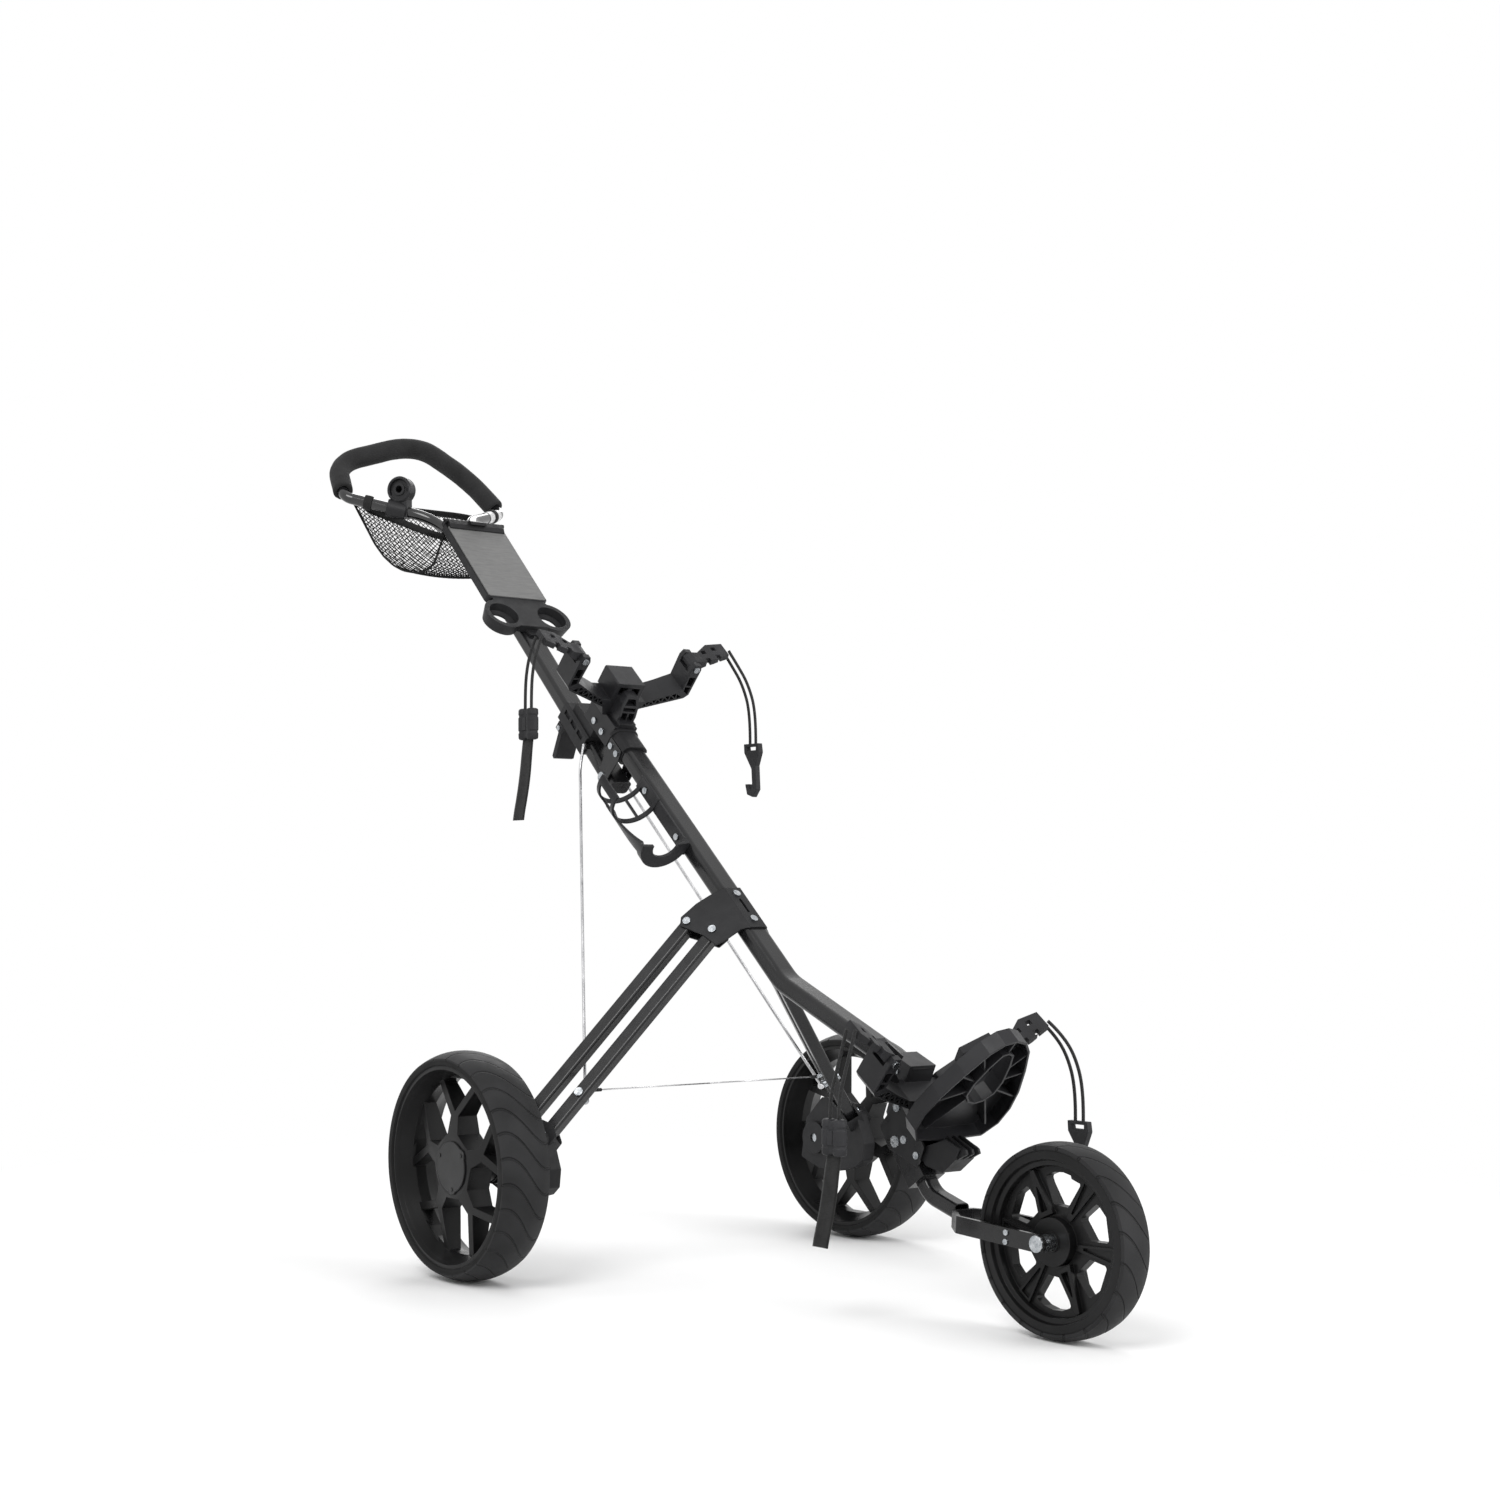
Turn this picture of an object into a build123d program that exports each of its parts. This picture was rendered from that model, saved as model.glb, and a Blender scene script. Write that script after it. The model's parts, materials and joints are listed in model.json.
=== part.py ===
from build123d import *
import math
import os

os.makedirs("parts", exist_ok=True)

# All sizes are millimetres. Working frame: X forward from the rear axle, Y left, Z up.
# Every part is moved back by CENTRE_X when it is written, so that the origin of the
# row lies under the middle of the cart.

# ---- wheels
REAR_R = 140.0
REAR_W = 66.0
REAR_Y = 316.5
FRONT_R = 104.7
FRONT_W = 40.0
WHEELBASE = 670.0
AXLE_R = 6.0

# ---- fits
RUN = 0.05
GAP = 0.3
HEAD = 2.0

# ---- frame lines: a point, and the slope below the horizontal
TUBE_X, TUBE_Z, TUBE_DEG = -97.5, 657.6, 42.6
HINGE_U, HINGE_W = -4.0, -48.5
SHAFT_DEG = 45.2
LOWER_DEG = 23.5
BEND_U = 435.4
TUBE_W, TUBE_H, TUBE_R, TUBE_WALL = 32.0, 22.0, 7.0, 1.8
SHAFT_W, SHAFT_H, SHAFT_R, SHAFT_WALL = 31.0, 20.0, 5.0, 1.5

# ---- handle
HANDLE_R = 8.0
HANDLE_WALL = 1.4
GRIP_R = 15.0
ROOT_Y, ROOT_Z = 25.5, 1.5
HANDLE_ROOT = (-430.0, ROOT_Y, ROOT_Z)
HANDLE_RISE = (-492.0, ROOT_Y, ROOT_Z)
HANDLE_NECK = (-567.0, ROOT_Y, -11.5)
HANDLE_ELBOW = (-644.6, 136.1, -43.3)
HANDLE_CORNER = (-730.8, 115.5, -43.6)
HANDLE_APEX = (-730.0, 0.0, 7.5)
RISE_BEND, NECK_BEND, ELBOW_BEND, CORNER_BEND, APEX_BEND = 40.0, 70.0, 18.0, 45.0, 101.0
GRIP_SHORT = 13.5

# ---- lower cradle and the folding nose
CRADLE2_X, CRADLE2_Z, CRADLE2_DEG = 492.7, 172.9, 38.0
NOSE_X, NOSE_Z = 436.0, 189.7
FORK_DEG = 3.0

# ---- wheel legs
WING_Y, WING_W, WING_FLARE = 14.0, 12.0, 43.7
LEG_DEG = 68.2
LEG_W, LEG_T, LEG_WALL = 17.0, 16.0, 1.2
WING_T, LEG_GAP = 2.0, 0.35
LEG_MID = -WING_T - LEG_GAP - LEG_T / 2
LEG_LEN = 330.0
LEG_UP = (294.0, 59.8)
LEG_LO = (324.5, 39.1)
LEG_BOLT = 261.7
PIN_R = 3.0
BALL_OFF = -LEG_T / 2 - 7.5
BALL_R = 5.0
ROD_R = 2.0

# Furthest reach of the handle grip behind the rear axle, and the middle of the whole cart
HANDLE_REACH = 685.9
CENTRE_X = (WHEELBASE + FRONT_R - HANDLE_REACH) / 2.0


def frame(x, z, deg):
    a = math.radians(deg)
    return Plane(
        origin=(x, 0, z),
        x_dir=(math.cos(a), 0, -math.sin(a)),
        z_dir=(math.sin(a), 0, math.cos(a)),
    )


def spot(fr, x, y, z):
    return fr.from_local_coords(Vector(x, y, z))


TUBE = frame(TUBE_X, TUBE_Z, TUBE_DEG)
H = spot(TUBE, HINGE_U, 0, HINGE_W)
SHAFT = frame(H.X, H.Z, SHAFT_DEG)
BEND = spot(TUBE, BEND_U, 0, 0)
LOWER = frame(BEND.X, BEND.Z, LOWER_DEG)
BASE = frame(0, 0, 0)
CRADLE2 = frame(CRADLE2_X, CRADLE2_Z, CRADLE2_DEG)
FORK = frame(WHEELBASE, FRONT_R, FORK_DEG)


def outline(pts, r=0.0):
    face = make_face(Polyline(*pts, close=True))
    if r:
        face = fillet(face.vertices(), r)
    return face


def side(fr, pts, y0, y1, r=0.0):
    pl = Plane(origin=spot(fr, 0, y1, 0), x_dir=fr.x_dir, z_dir=-fr.y_dir)
    return pl * extrude(outline(pts, r), y1 - y0)


def plan(fr, pts, z0, z1, r=0.0):
    pl = Plane(origin=spot(fr, 0, 0, z0), x_dir=fr.x_dir, z_dir=fr.z_dir)
    return pl * extrude(outline(pts, r), z1 - z0)


def across(fr, pts, x0, x1, r=0.0):
    pl = Plane(origin=spot(fr, x0, 0, 0), x_dir=fr.y_dir, z_dir=fr.x_dir)
    return pl * extrude(outline(pts, r), x1 - x0)


def block(fr, x0, x1, y0, y1, z0, z1):
    box = Box(x1 - x0, y1 - y0, z1 - z0)
    return fr * (Pos((x0 + x1) / 2, (y0 + y1) / 2, (z0 + z1) / 2) * box)


def bar(p, q, r):
    p = Vector(p)
    q = Vector(q)
    pl = Plane(origin=p, z_dir=q - p)
    return pl * Cylinder(r, (q - p).length, align=(Align.CENTER, Align.CENTER, Align.MIN))


def hoop(p, q, r_out, r_in):
    return bar(p, q, r_out) - bar(p, q, r_in)


def along_y(fr, x, z, y0, y1, r):
    return bar(spot(fr, x, y0, z), spot(fr, x, y1, z), r)


def rivet_y(fr, x, z, reach, r, head_r):
    """A pin straight across the cart with a head on each side, outside plus and minus reach."""
    pin = along_y(fr, x, z, -reach - HEAD, reach + HEAD, r)
    for s in (-1, 1):
        pin += along_y(fr, x, z, s * reach, s * (reach + HEAD), head_r)
    return pin


def drill_y(fr, x, z, r):
    return along_y(fr, x, z, -80, 80, r)


def inset(pts, t):
    """Corners of a convex outline with each side moved inward by t (outward if negative)."""
    pairs = list(zip(pts, pts[1:] + pts[:1]))
    turn = 1 if sum(a[0] * b[1] - b[0] * a[1] for a, b in pairs) > 0 else -1
    lines = []
    for a, b in pairs:
        size = math.dist(a, b)
        nx = -turn * (b[1] - a[1]) / size
        ny = turn * (b[0] - a[0]) / size
        lines.append((nx, ny, nx * a[0] + ny * a[1] + t))
    corners = []
    for p, q in zip(lines, lines[1:] + lines[:1]):
        det = p[0] * q[1] - p[1] * q[0]
        corners.append(((p[2] * q[1] - p[1] * q[2]) / det, (p[0] * q[2] - p[2] * q[0]) / det))
    return corners


def channel(fr, x0, x1, w, h, r, wall):
    pl = Plane(origin=spot(fr, x0, 0, 0), x_dir=fr.y_dir, z_dir=fr.x_dir)
    ring = RectangleRounded(w, h, r) - RectangleRounded(w - 2 * wall, h - 2 * wall, r - wall)
    return pl * extrude(ring, x1 - x0)


def solid_channel(fr, x0, x1, w, h, r):
    pl = Plane(origin=spot(fr, x0, 0, 0), x_dir=fr.y_dir, z_dir=fr.x_dir)
    return pl * extrude(RectangleRounded(w, h, r), x1 - x0)


def routed(points, radii, section_r, inner_r=0.0):
    path = FilletPolyline(*points, radius=radii)
    start = Plane(origin=path @ 0, z_dir=path % 0)
    face = Circle(section_r)
    if inner_r:
        face = face - Circle(inner_r)
    return sweep(start * face, path=path)


def bend_radii(points, share=0.45):
    radii = []
    for a, b, c in zip(points, points[1:], points[2:]):
        u = Vector(b) - Vector(a)
        v = Vector(c) - Vector(b)
        turn = math.radians(u.get_angle(v))
        radii.append(share * min(u.length, v.length) / math.tan(turn / 2))
    return radii


def flip(shape):
    return mirror(shape, about=Plane.XZ)


def put(name, *shapes):
    moved = []
    for shape in shapes:
        for solid in shape.solids():
            moved.append(Pos(-CENTRE_X, 0, 0) * solid)
    export_step(Compound(label=name, children=moved), "parts/" + name + ".step")


def wheel_plane(x, y, z, out):
    return Plane(origin=(x, y, z), x_dir=(1, 0, 0), z_dir=(0, out, 0))


def turned(profile):
    face = make_face(Polyline(*[(r, 0, z) for r, z in profile], close=True))
    return revolve(face, axis=Axis.Z)


def polar(r, deg):
    a = math.radians(deg)
    return (r * math.cos(a), r * math.sin(a))


# ---------------------------------------------------------------- rear wheels
RIM_SEAT = 116.0
RIM_LIP = 122.5
SPOKES = 5
SPOKE_AT = 90.0
SPOKE_FORK = 22.0


def rear_tyre_local():
    h = REAR_W / 2
    edge = REAR_R - 8.7
    line = Polyline((edge, 0, h), (RIM_LIP + 1.5, 0, h), (RIM_LIP, 0, h - 2), (RIM_LIP, 0, 26.0))
    line += Polyline((RIM_LIP, 0, 26.0), (RIM_SEAT, 0, 26.0), (RIM_SEAT, 0, -26.0))
    line += Polyline((RIM_SEAT, 0, -26.0), (RIM_LIP, 0, -26.0), (RIM_LIP, 0, 2 - h))
    line += Polyline((RIM_LIP, 0, 2 - h), (RIM_LIP + 1.5, 0, -h), (edge, 0, -h))
    line += ThreePointArc((edge, 0, -h), (REAR_R - 3.1, 0, -h * 0.62), (REAR_R, 0, 0))
    line += ThreePointArc((REAR_R, 0, 0), (REAR_R - 3.1, 0, h * 0.62), (edge, 0, h))
    return revolve(make_face(line), axis=Axis.Z)


def rear_rim_local():
    barrel = turned(
        [
            (RIM_SEAT, 26.0),
            (RIM_LIP, 26.0),
            (RIM_LIP, 31.0),
            (118.0, 31.5),
            (112.5, 19.0),
            (107.0, 7.0),
            (107.0, -7.0),
            (112.5, -19.0),
            (118.0, -31.5),
            (RIM_LIP, -31.0),
            (RIM_LIP, -26.0),
            (RIM_SEAT, -26.0),
        ]
    )
    web = turned([(0, -12), (0, 20.5), (36, 20.5), (110, 10.5), (110, -6), (40, -12)])
    for i in range(SPOKES):
        c = SPOKE_AT + 72.0 * i
        inside = [polar(67, c), polar(113, c - SPOKE_FORK + 2.6), polar(113, c + SPOKE_FORK - 2.6)]
        web -= extrude(outline(inside), 60, both=True)
        g = c + 36.0
        gap = [
            polar(41, g - 20),
            polar(62, g - 28.5),
            polar(113, g - 11.4),
            polar(113, g + 11.4),
            polar(62, g + 28.5),
            polar(41, g + 20),
        ]
        web -= extrude(outline(gap), 60, both=True)
    barrel += web - turned([(108.5, -20), (108.5, 20), (120, 20), (120, -20)])
    hub = turned([(0, -32.3), (0, 20.5), (35, 20.5), (35, -6), (24, -14), (21, -32.3)])
    rim = barrel + hub
    bore = Cylinder(AXLE_R + RUN, 51, align=(Align.CENTER, Align.CENTER, Align.MIN))
    return rim - Pos(0, 0, -33.0) * bore


def hub_cap_local():
    disc = Circle(31.0)
    for i in range(3):
        x, y = polar(24.5, -86 + 120 * i)
        disc += Pos(x, y) * Circle(9.5)
    cap = Pos(0, 0, 20.5) * extrude(disc, 2.4)
    cap = chamfer(cap.faces().sort_by(Axis.Z)[-1].edges(), 0.8)
    for i in range(3):
        x, y = polar(27.5, -86 + 120 * i)
        cap += Pos(x, y, 22.9) * Cylinder(2.6, 0.9, align=(Align.CENTER, Align.CENTER, Align.MIN))
    return cap


def rear_wheel(out):
    pl = wheel_plane(0, out * REAR_Y, REAR_R, out)
    return pl * rear_rim_local(), pl * rear_tyre_local(), pl * hub_cap_local()


# ---------------------------------------------------------------- front wheel
F_SEAT = 90.0


def front_tyre_local():
    h = FRONT_W / 2
    edge = FRONT_R - 3.2
    line = Polyline((edge, 0, h - 1.0), (98.5, 0, h), (96.0, 0, h - 1.5), (96.0, 0, 15.0))
    line += Polyline((96.0, 0, 15.0), (F_SEAT, 0, 15.0), (F_SEAT, 0, -15.0), (96.0, 0, -15.0))
    line += Polyline((96.0, 0, -15.0), (96.0, 0, 1.5 - h), (98.5, 0, -h), (edge, 0, 1.0 - h))
    line += ThreePointArc((edge, 0, 1.0 - h), (FRONT_R, 0, 0), (edge, 0, h - 1.0))
    return revolve(make_face(line), axis=Axis.Z)


def front_rim_local():
    rim = turned(
        [
            (F_SEAT, 15.0),
            (96.0, 15.0),
            (96.0, 18.0),
            (87.0, 18.5),
            (85.5, 14.0),
            (80.5, 13.0),
            (79.0, 6.0),
            (0, 6.0),
            (0, -6.0),
            (79.0, -6.0),
            (80.5, -13.0),
            (85.5, -14.0),
            (87.0, -18.5),
            (96.0, -18.0),
            (96.0, -15.0),
            (F_SEAT, -15.0),
        ]
    )
    for base in (85.0, -95.0):
        cut = [
            polar(39, base - 15),
            polar(70, base - 21),
            polar(73, base - 10),
            polar(73.6, base),
            polar(73, base + 10),
            polar(70, base + 21),
            polar(39, base + 15),
        ]
        rim -= extrude(outline(cut, 3.0), 30, both=True)
    for base in (25.0, 145.0, -35.0, -155.0):
        turn = 1 if base in (25.0, -155.0) else -1
        cut = [
            polar(40, base + 17 * turn),
            polar(70, base + 16 * turn),
            polar(73, base + 2 * turn),
            polar(70, base - 20 * turn),
            polar(46, base - 18 * turn),
        ]
        rim -= extrude(outline(cut, 3.5), 30, both=True)
    for base in (115.0, -65.0):
        ridge = [polar(30, base - 20), polar(79, base - 2), polar(79, base + 2), polar(30, base + 20)]
        hollow = [polar(34, base - 9), polar(66, base), polar(34, base + 9)]
        rim += extrude(outline(ridge), 12.0, both=True) - extrude(outline(hollow, 1.0), 15.0, both=True)
    for base in (55.0, -125.0, 175.0, -5.0):
        rib = [polar(30, base - 6), polar(79, base - 7), polar(79, base + 7), polar(30, base + 6)]
        slot = [polar(38, base - 2), polar(76, base - 4.5), polar(76, base + 4.5), polar(38, base + 2)]
        rim += extrude(outline(rib), 9.5, both=True) - extrude(outline(slot), 15.0, both=True)
    rim += Cylinder(26.0, 33.0)
    for z in (-1, 1):
        rim += Pos(0, 0, z * 17.0) * Cylinder(11.0, 3.0)
    return rim - Cylinder(AXLE_R + RUN, 60)


FRONT_AT = wheel_plane(WHEELBASE, 0, FRONT_R, -1)

# ---------------------------------------------------------------- main tube and upper hinge
TUBE_TOP_U = -84.0
LOWER_END = 248.0
COLLAR_IN, COLLAR_FRONT, COLLAR_W, COLLAR_H = 26.0, 10.0, 40.0, 30.0
PLATE_IN = TUBE_W / 2 + 0.95
PLATE_OUT = PLATE_IN + 2.0
PIVOT_R = 4.0
RIVET_R = 2.5


def main_tube():
    a = spot(TUBE, TUBE_TOP_U, 0, 0)
    c = spot(LOWER, LOWER_END, 0, 0)
    path = FilletPolyline(a, BEND, c, radius=70.0)
    pl = Plane(origin=a, x_dir=(0, 1, 0), z_dir=TUBE.x_dir)
    t = TUBE_WALL
    outer = sweep(pl * RectangleRounded(TUBE_W, TUBE_H, TUBE_R), path=path)
    inner = sweep(pl * RectangleRounded(TUBE_W - 2 * t, TUBE_H - 2 * t, TUBE_R - t), path=path)
    return outer, outer - inner


tube_full, tube = main_tube()

collar = solid_channel(TUBE, -COLLAR_IN, COLLAR_FRONT, COLLAR_W, COLLAR_H, 11.0)
collar += solid_channel(TUBE, -COLLAR_IN, 5.0 - COLLAR_IN, COLLAR_W + 4, COLLAR_H + 4, 13.0)
collar -= tube_full
for s in (-1, 1):
    collar -= block(TUBE, -40, COLLAR_FRONT + 1, *sorted((s * PLATE_IN, s * 40)), -40, 6)

HINGE_PLATE = [(-24, 4), (6, 4), (9, -8), (6, -50), (0, -58), (-9, -57), (-14, -48), (-23, -12)]
hinge_plate = side(TUBE, HINGE_PLATE, PLATE_IN, PLATE_OUT, 3.0)
upper_pivot = rivet_y(TUBE, HINGE_U, HINGE_W, PLATE_OUT, PIVOT_R, 7.0)
washers = []
for s in (-1, 1):
    inner_end = spot(SHAFT, 0, s * (SHAFT_W / 2 + 0.1), 0)
    washers.append(hoop(inner_end, spot(SHAFT, 0, s * (PLATE_IN - 0.1), 0), 9.0, PIVOT_R + RUN))
upper_rivets = []
for u, w in ((-16.0, -5.0), (0.0, -5.0)):
    upper_rivets.append(rivet_y(TUBE, u, w, PLATE_OUT, RIVET_R, 4.4))
    drill = drill_y(TUBE, u, w, RIVET_R)
    tube = tube - drill
    collar = collar - drill
    hinge_plate = hinge_plate - drill
hinge_plate = hinge_plate - drill_y(TUBE, HINGE_U, HINGE_W, PIVOT_R)

# ---------------------------------------------------------------- bag cradles
CR_BACK, CR_FRONT = -90.0, -54.0
POST_BACK = CR_BACK - 4.0
POST_HALF, POST_TOP = 22.2, 68.3
RIB_DEPTH, RIB_HALF = 10.0, 0.9
PIN_Y, PIN_W = 90.4, 99.1
LUG_R = 8.0
STRAP_PIN_R = 2.5
FOOT_W = 17.0
ARM_FOOT = ((22.0, 30.0), (22.0, 41.0))
ARM_ELBOW = ((94.0, 53.0), (82.0, 61.5))


def along(line, t):
    return (line[0][0] + t * (line[1][0] - line[0][0]), line[0][1] + t * (line[1][1] - line[0][1]))


def cradle_arm(fr):
    """One arm (left side): flat back and top, ribbed front and rear faces, lug at the tip."""
    prof = [
        (16, 27),
        (29, 29.3),
        (93, 51.8),
        (98.6, 58),
        (PIN_Y + LUG_R, PIN_W),
        (PIN_Y + LUG_R - 3, PIN_W + 7),
        (PIN_Y - LUG_R + 3, PIN_W + 7),
        (PIN_Y - LUG_R, PIN_W),
        (84.5, 65),
        (60, 52.5),
        (34, 41.5),
        (16, 41.5),
    ]
    arm = across(fr, prof, CR_BACK, CR_FRONT)
    tongue = [(PIN_Y - 13, 91), (PIN_Y + 13, 91), (PIN_Y + 13, 112), (PIN_Y - 13, 112)]
    arm -= across(fr, tongue, CR_BACK + 7, CR_FRONT - 7)
    low = ((30.0, 31.2), (91.0, 52.6))
    high = ((30.0, 38.5), (83.0, 61.5))
    cells = []
    bays = 6
    for i in range(bays):
        a, b = i / bays, (i + 1) / bays
        mid = (a + b) / 2
        cells.append(inset([along(low, a), along(low, b), along(high, mid)], RIB_HALF))
        if i < bays - 1:
            after = (b + (i + 2) / bays) / 2
            cells.append(inset([along(low, b), along(high, after), along(high, mid)], RIB_HALF))
    cells.append([(87.5, 63), (95.3, 58.5), (95.5, 70), (87.2, 70)])
    cells.append([(87.0, 72), (95.5, 72), (95.8, 86), (86.0, 86)])
    for cell in cells:
        arm -= across(fr, cell, CR_FRONT - RIB_DEPTH, CR_FRONT + 1)
        arm -= across(fr, cell, CR_BACK - 1, CR_BACK + RIB_DEPTH)
    return arm


def cradle_foot(fr):
    foot = [(-24, FOOT_W), (24, FOOT_W), (30, 30), (30, 41.5), (-30, 41.5), (-30, 30)]
    return across(fr, foot, CR_BACK, CR_FRONT)


def cradle_post(fr):
    post = [
        (-POST_HALF, 41),
        (POST_HALF, 41),
        (POST_HALF, POST_TOP - 1.5),
        (POST_HALF - 1.5, POST_TOP),
        (1.5 - POST_HALF, POST_TOP),
        (-POST_HALF, POST_TOP - 1.5),
    ]
    body = across(fr, post, POST_BACK, CR_FRONT)
    body -= side(fr, [(-110, 61), (-84, 61), (-80, 49), (-110, 45)], -14, 14)
    for y in (-16.0, 3.0):
        body -= block(fr, CR_FRONT - RIB_DEPTH, CR_FRONT + 1, y, y + 13, 50, 62)
    return body


def cradle(fr, middle):
    """Both arms on their foot, with the middle piece that carries the bag."""
    arm = cradle_arm(fr)
    body = cradle_foot(fr) + middle + arm + flip(arm)
    for s in (-1, 1):
        drill = bar(spot(fr, -120, s * PIN_Y, PIN_W), spot(fr, -30, s * PIN_Y, PIN_W), STRAP_PIN_R)
        body = body - drill
    return body


def strap_pin(fr, s):
    p = spot(fr, CR_BACK, s * PIN_Y, PIN_W)
    q = spot(fr, CR_FRONT, s * PIN_Y, PIN_W)
    step = fr.x_dir * HEAD
    return bar(p - step, q + step, STRAP_PIN_R) + bar(q, q + step, 4.4) + bar(p - step, p, 4.0)


STRAP_LEN = 60.0
STRAP_TILT_UPPER, STRAP_TILT_LOWER = 11.0, 26.0
STRAP_X0, STRAP_X1 = CR_BACK + 7 + GAP, CR_FRONT - 7 - GAP


def strap_plane(fr, tilt):
    """On the strap's mid plane: x down the cart's tube, y outward along the strap."""
    a = math.radians(tilt)
    up = fr.y_dir * -math.sin(a) + fr.z_dir * math.cos(a)
    return Plane(origin=spot(fr, 0, PIN_Y, PIN_W), x_dir=fr.x_dir, z_dir=up)


def strap_end(fr, s, tilt):
    """Slotted rubber strap end on its pin, lying outward at rest."""
    pl = strap_plane(fr, tilt)
    edge = [
        (-6.0, -3.5),
        (-3.0, -6.0),
        (8.0, -6.2),
        (20.0, -3.5),
        (38.0, -2.5),
        (STRAP_LEN, -3.5),
        (STRAP_LEN, 4.0),
        (38.0, 5.0),
        (16.0, 5.2),
        (4.0, 7.0),
        (-3.0, 6.0),
        (-6.5, 2.5),
    ]
    mid = (STRAP_X0 + STRAP_X1) / 2
    across_pl = Plane(origin=pl.from_local_coords(Vector(mid, 0, 0)), x_dir=pl.y_dir, z_dir=pl.x_dir)
    piece = across_pl * extrude(outline(edge), 30, both=True)
    shape = [
        (STRAP_X0, -20),
        (STRAP_X1, -20),
        (STRAP_X1, 10),
        (STRAP_X1 - 4, 34),
        (STRAP_X1 - 12, STRAP_LEN + 1),
        (STRAP_X0 - 14, STRAP_LEN + 1),
        (STRAP_X0 - 14, 34),
        (STRAP_X0, 14),
    ]
    piece = piece & (pl * extrude(outline(shape), 30, both=True))
    for d, shift in ((24.0, 0.0), (42.0, -5.0)):
        for x in (mid - 10, mid + 6):
            piece -= pl * (Pos(x + shift, d, 0) * Box(7.0, 7.0, 40))
    turn = bar(spot(fr, -130, PIN_Y, PIN_W), spot(fr, -20, PIN_Y, PIN_W), STRAP_PIN_R + RUN)
    piece = piece - turn
    return piece if s > 0 else flip(piece)


FRONT_POST_HALF = 13.5
SLEEVE_END = -COLLAR_IN - 0.2
upper_cradle = cradle(TUBE, cradle_post(TUBE))
upper_cradle += block(TUBE, CR_BACK - 2, SLEEVE_END, -18, 18, -15, FOOT_W + 1)
upper_cradle += block(TUBE, CR_BACK - 2, SLEEVE_END, -13, 13, FOOT_W, 24)
upper_cradle -= tube_full
f = FRONT_POST_HALF
front_post_line = [(-f, 18), (f, 18), (f, 47), (9, 57), (4, 59), (-4, 59), (-9, 57), (-f, 47)]
front_post = across(TUBE, front_post_line, CR_FRONT - 0.5, -34.0)
front_post -= side(TUBE, [(-43, 61), (-33, 61), (-33, 26), (-35, 34)], -20, 20)
front_post -= across(TUBE, [(-10, 23), (-1, 23), (-1, 35), (-10, 35)], -42, -30)
front_post -= across(TUBE, [(1, 23), (10, 23), (10, 35), (1, 35)], -42, -30)
front_post -= across(TUBE, [(-10, 37), (10, 37), (10, 42), (-10, 42)], -44, -30)
front_post -= across(TUBE, [(-9, 45), (9, 45), (6, 54), (-6, 54)], -48, -30)
upper_cradle += front_post
cradle_screws = []
for u in (-69.0, -46.0):
    cradle_screws.append(rivet_y(TUBE, u, -5.0, 18.0, RIVET_R, 4.6))
    drill = drill_y(TUBE, u, -5.0, RIVET_R)
    tube = tube - drill
    upper_cradle = upper_cradle - drill

# ---------------------------------------------------------------- middle bracket and legs
fl = math.radians(90 - WING_FLARE)
WING = Plane(
    origin=spot(TUBE, 0, -WING_Y, WING_W),
    x_dir=TUBE.x_dir,
    z_dir=TUBE.y_dir * -math.sin(fl) + TUBE.z_dir * math.cos(fl),
)


def wing_pt(u, k, z):
    return WING.from_local_coords(Vector(u, -k, z))


def wing_prism(pts, z0, z1, r=0.0):
    pl = Plane(origin=WING.from_local_coords(Vector(0, 0, z0)), x_dir=WING.x_dir, z_dir=WING.z_dir)
    return pl * extrude(outline([(u, -k) for u, k in pts], r), z1 - z0)


INNER_TOP = LEG_MID - LEG_T / 2 - LEG_GAP
INNER_T = 2.0
SADDLE_U0, SADDLE_U1, SADDLE_T = 281.0, 352.0, 2.4
WING_OUTLINE = [
    (281, -1.5),
    (279, 18),
    (279, 38),
    (284, 63),
    (294.4, 70),
    (322, 53),
    (347, 46),
    (348.5, 35),
    (347, 9.5),
    (352, -1.5),
]
wing = wing_prism(WING_OUTLINE, -WING_T, 0.0, 1.2)
top = TUBE_H / 2
saddle_section = [
    (-WING_Y - 0.8, top),
    (-WING_Y + 1.4, top + SADDLE_T),
    (WING_Y - 1.4, top + SADDLE_T),
    (WING_Y + 0.8, top),
]
mid_bracket = across(TUBE, saddle_section, SADDLE_U0, SADDLE_U1) + wing + flip(wing)
mid_bracket -= plan(TUBE, [(301, -2), (326, -2), (326, 2), (301, 2)], top - 1, top + 5, 1.9)
mid_screws = []
for u in (292.5, 338.0):
    one = bar(spot(TUBE, u, 0, top - 5), spot(TUBE, u, 0, top + SADDLE_T + 2), 2.5)
    head = bar(spot(TUBE, u, 0, top + SADDLE_T), spot(TUBE, u, 0, top + SADDLE_T + 2.2), 5.0)
    mid_screws.append(one + head)
    drill = bar(spot(TUBE, u, 0, top - 5), spot(TUBE, u, 0, top + 4), 2.5)
    tube = tube - drill
    mid_bracket = mid_bracket - drill

INNER_OUTLINE = [(283, 56), (288, 70), (300, 70), (322, 55), (340, 44), (337, 28), (320, 26), (300, 42)]
inner_plate = wing_prism(INNER_OUTLINE, INNER_TOP - INNER_T, INNER_TOP, 3.0)
post_u = (LEG_UP[0] + LEG_LO[0]) / 2
post_k = (LEG_UP[1] + LEG_LO[1]) / 2
spacer = bar(wing_pt(post_u, post_k, INNER_TOP), wing_pt(post_u, post_k, -WING_T), 5.0)
mid_bracket = mid_bracket + spacer + flip(spacer)

a_leg = math.radians(LEG_DEG)
LEG_DU, LEG_DK = math.cos(a_leg), math.sin(a_leg)
LEG_TAIL = 9.0


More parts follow.
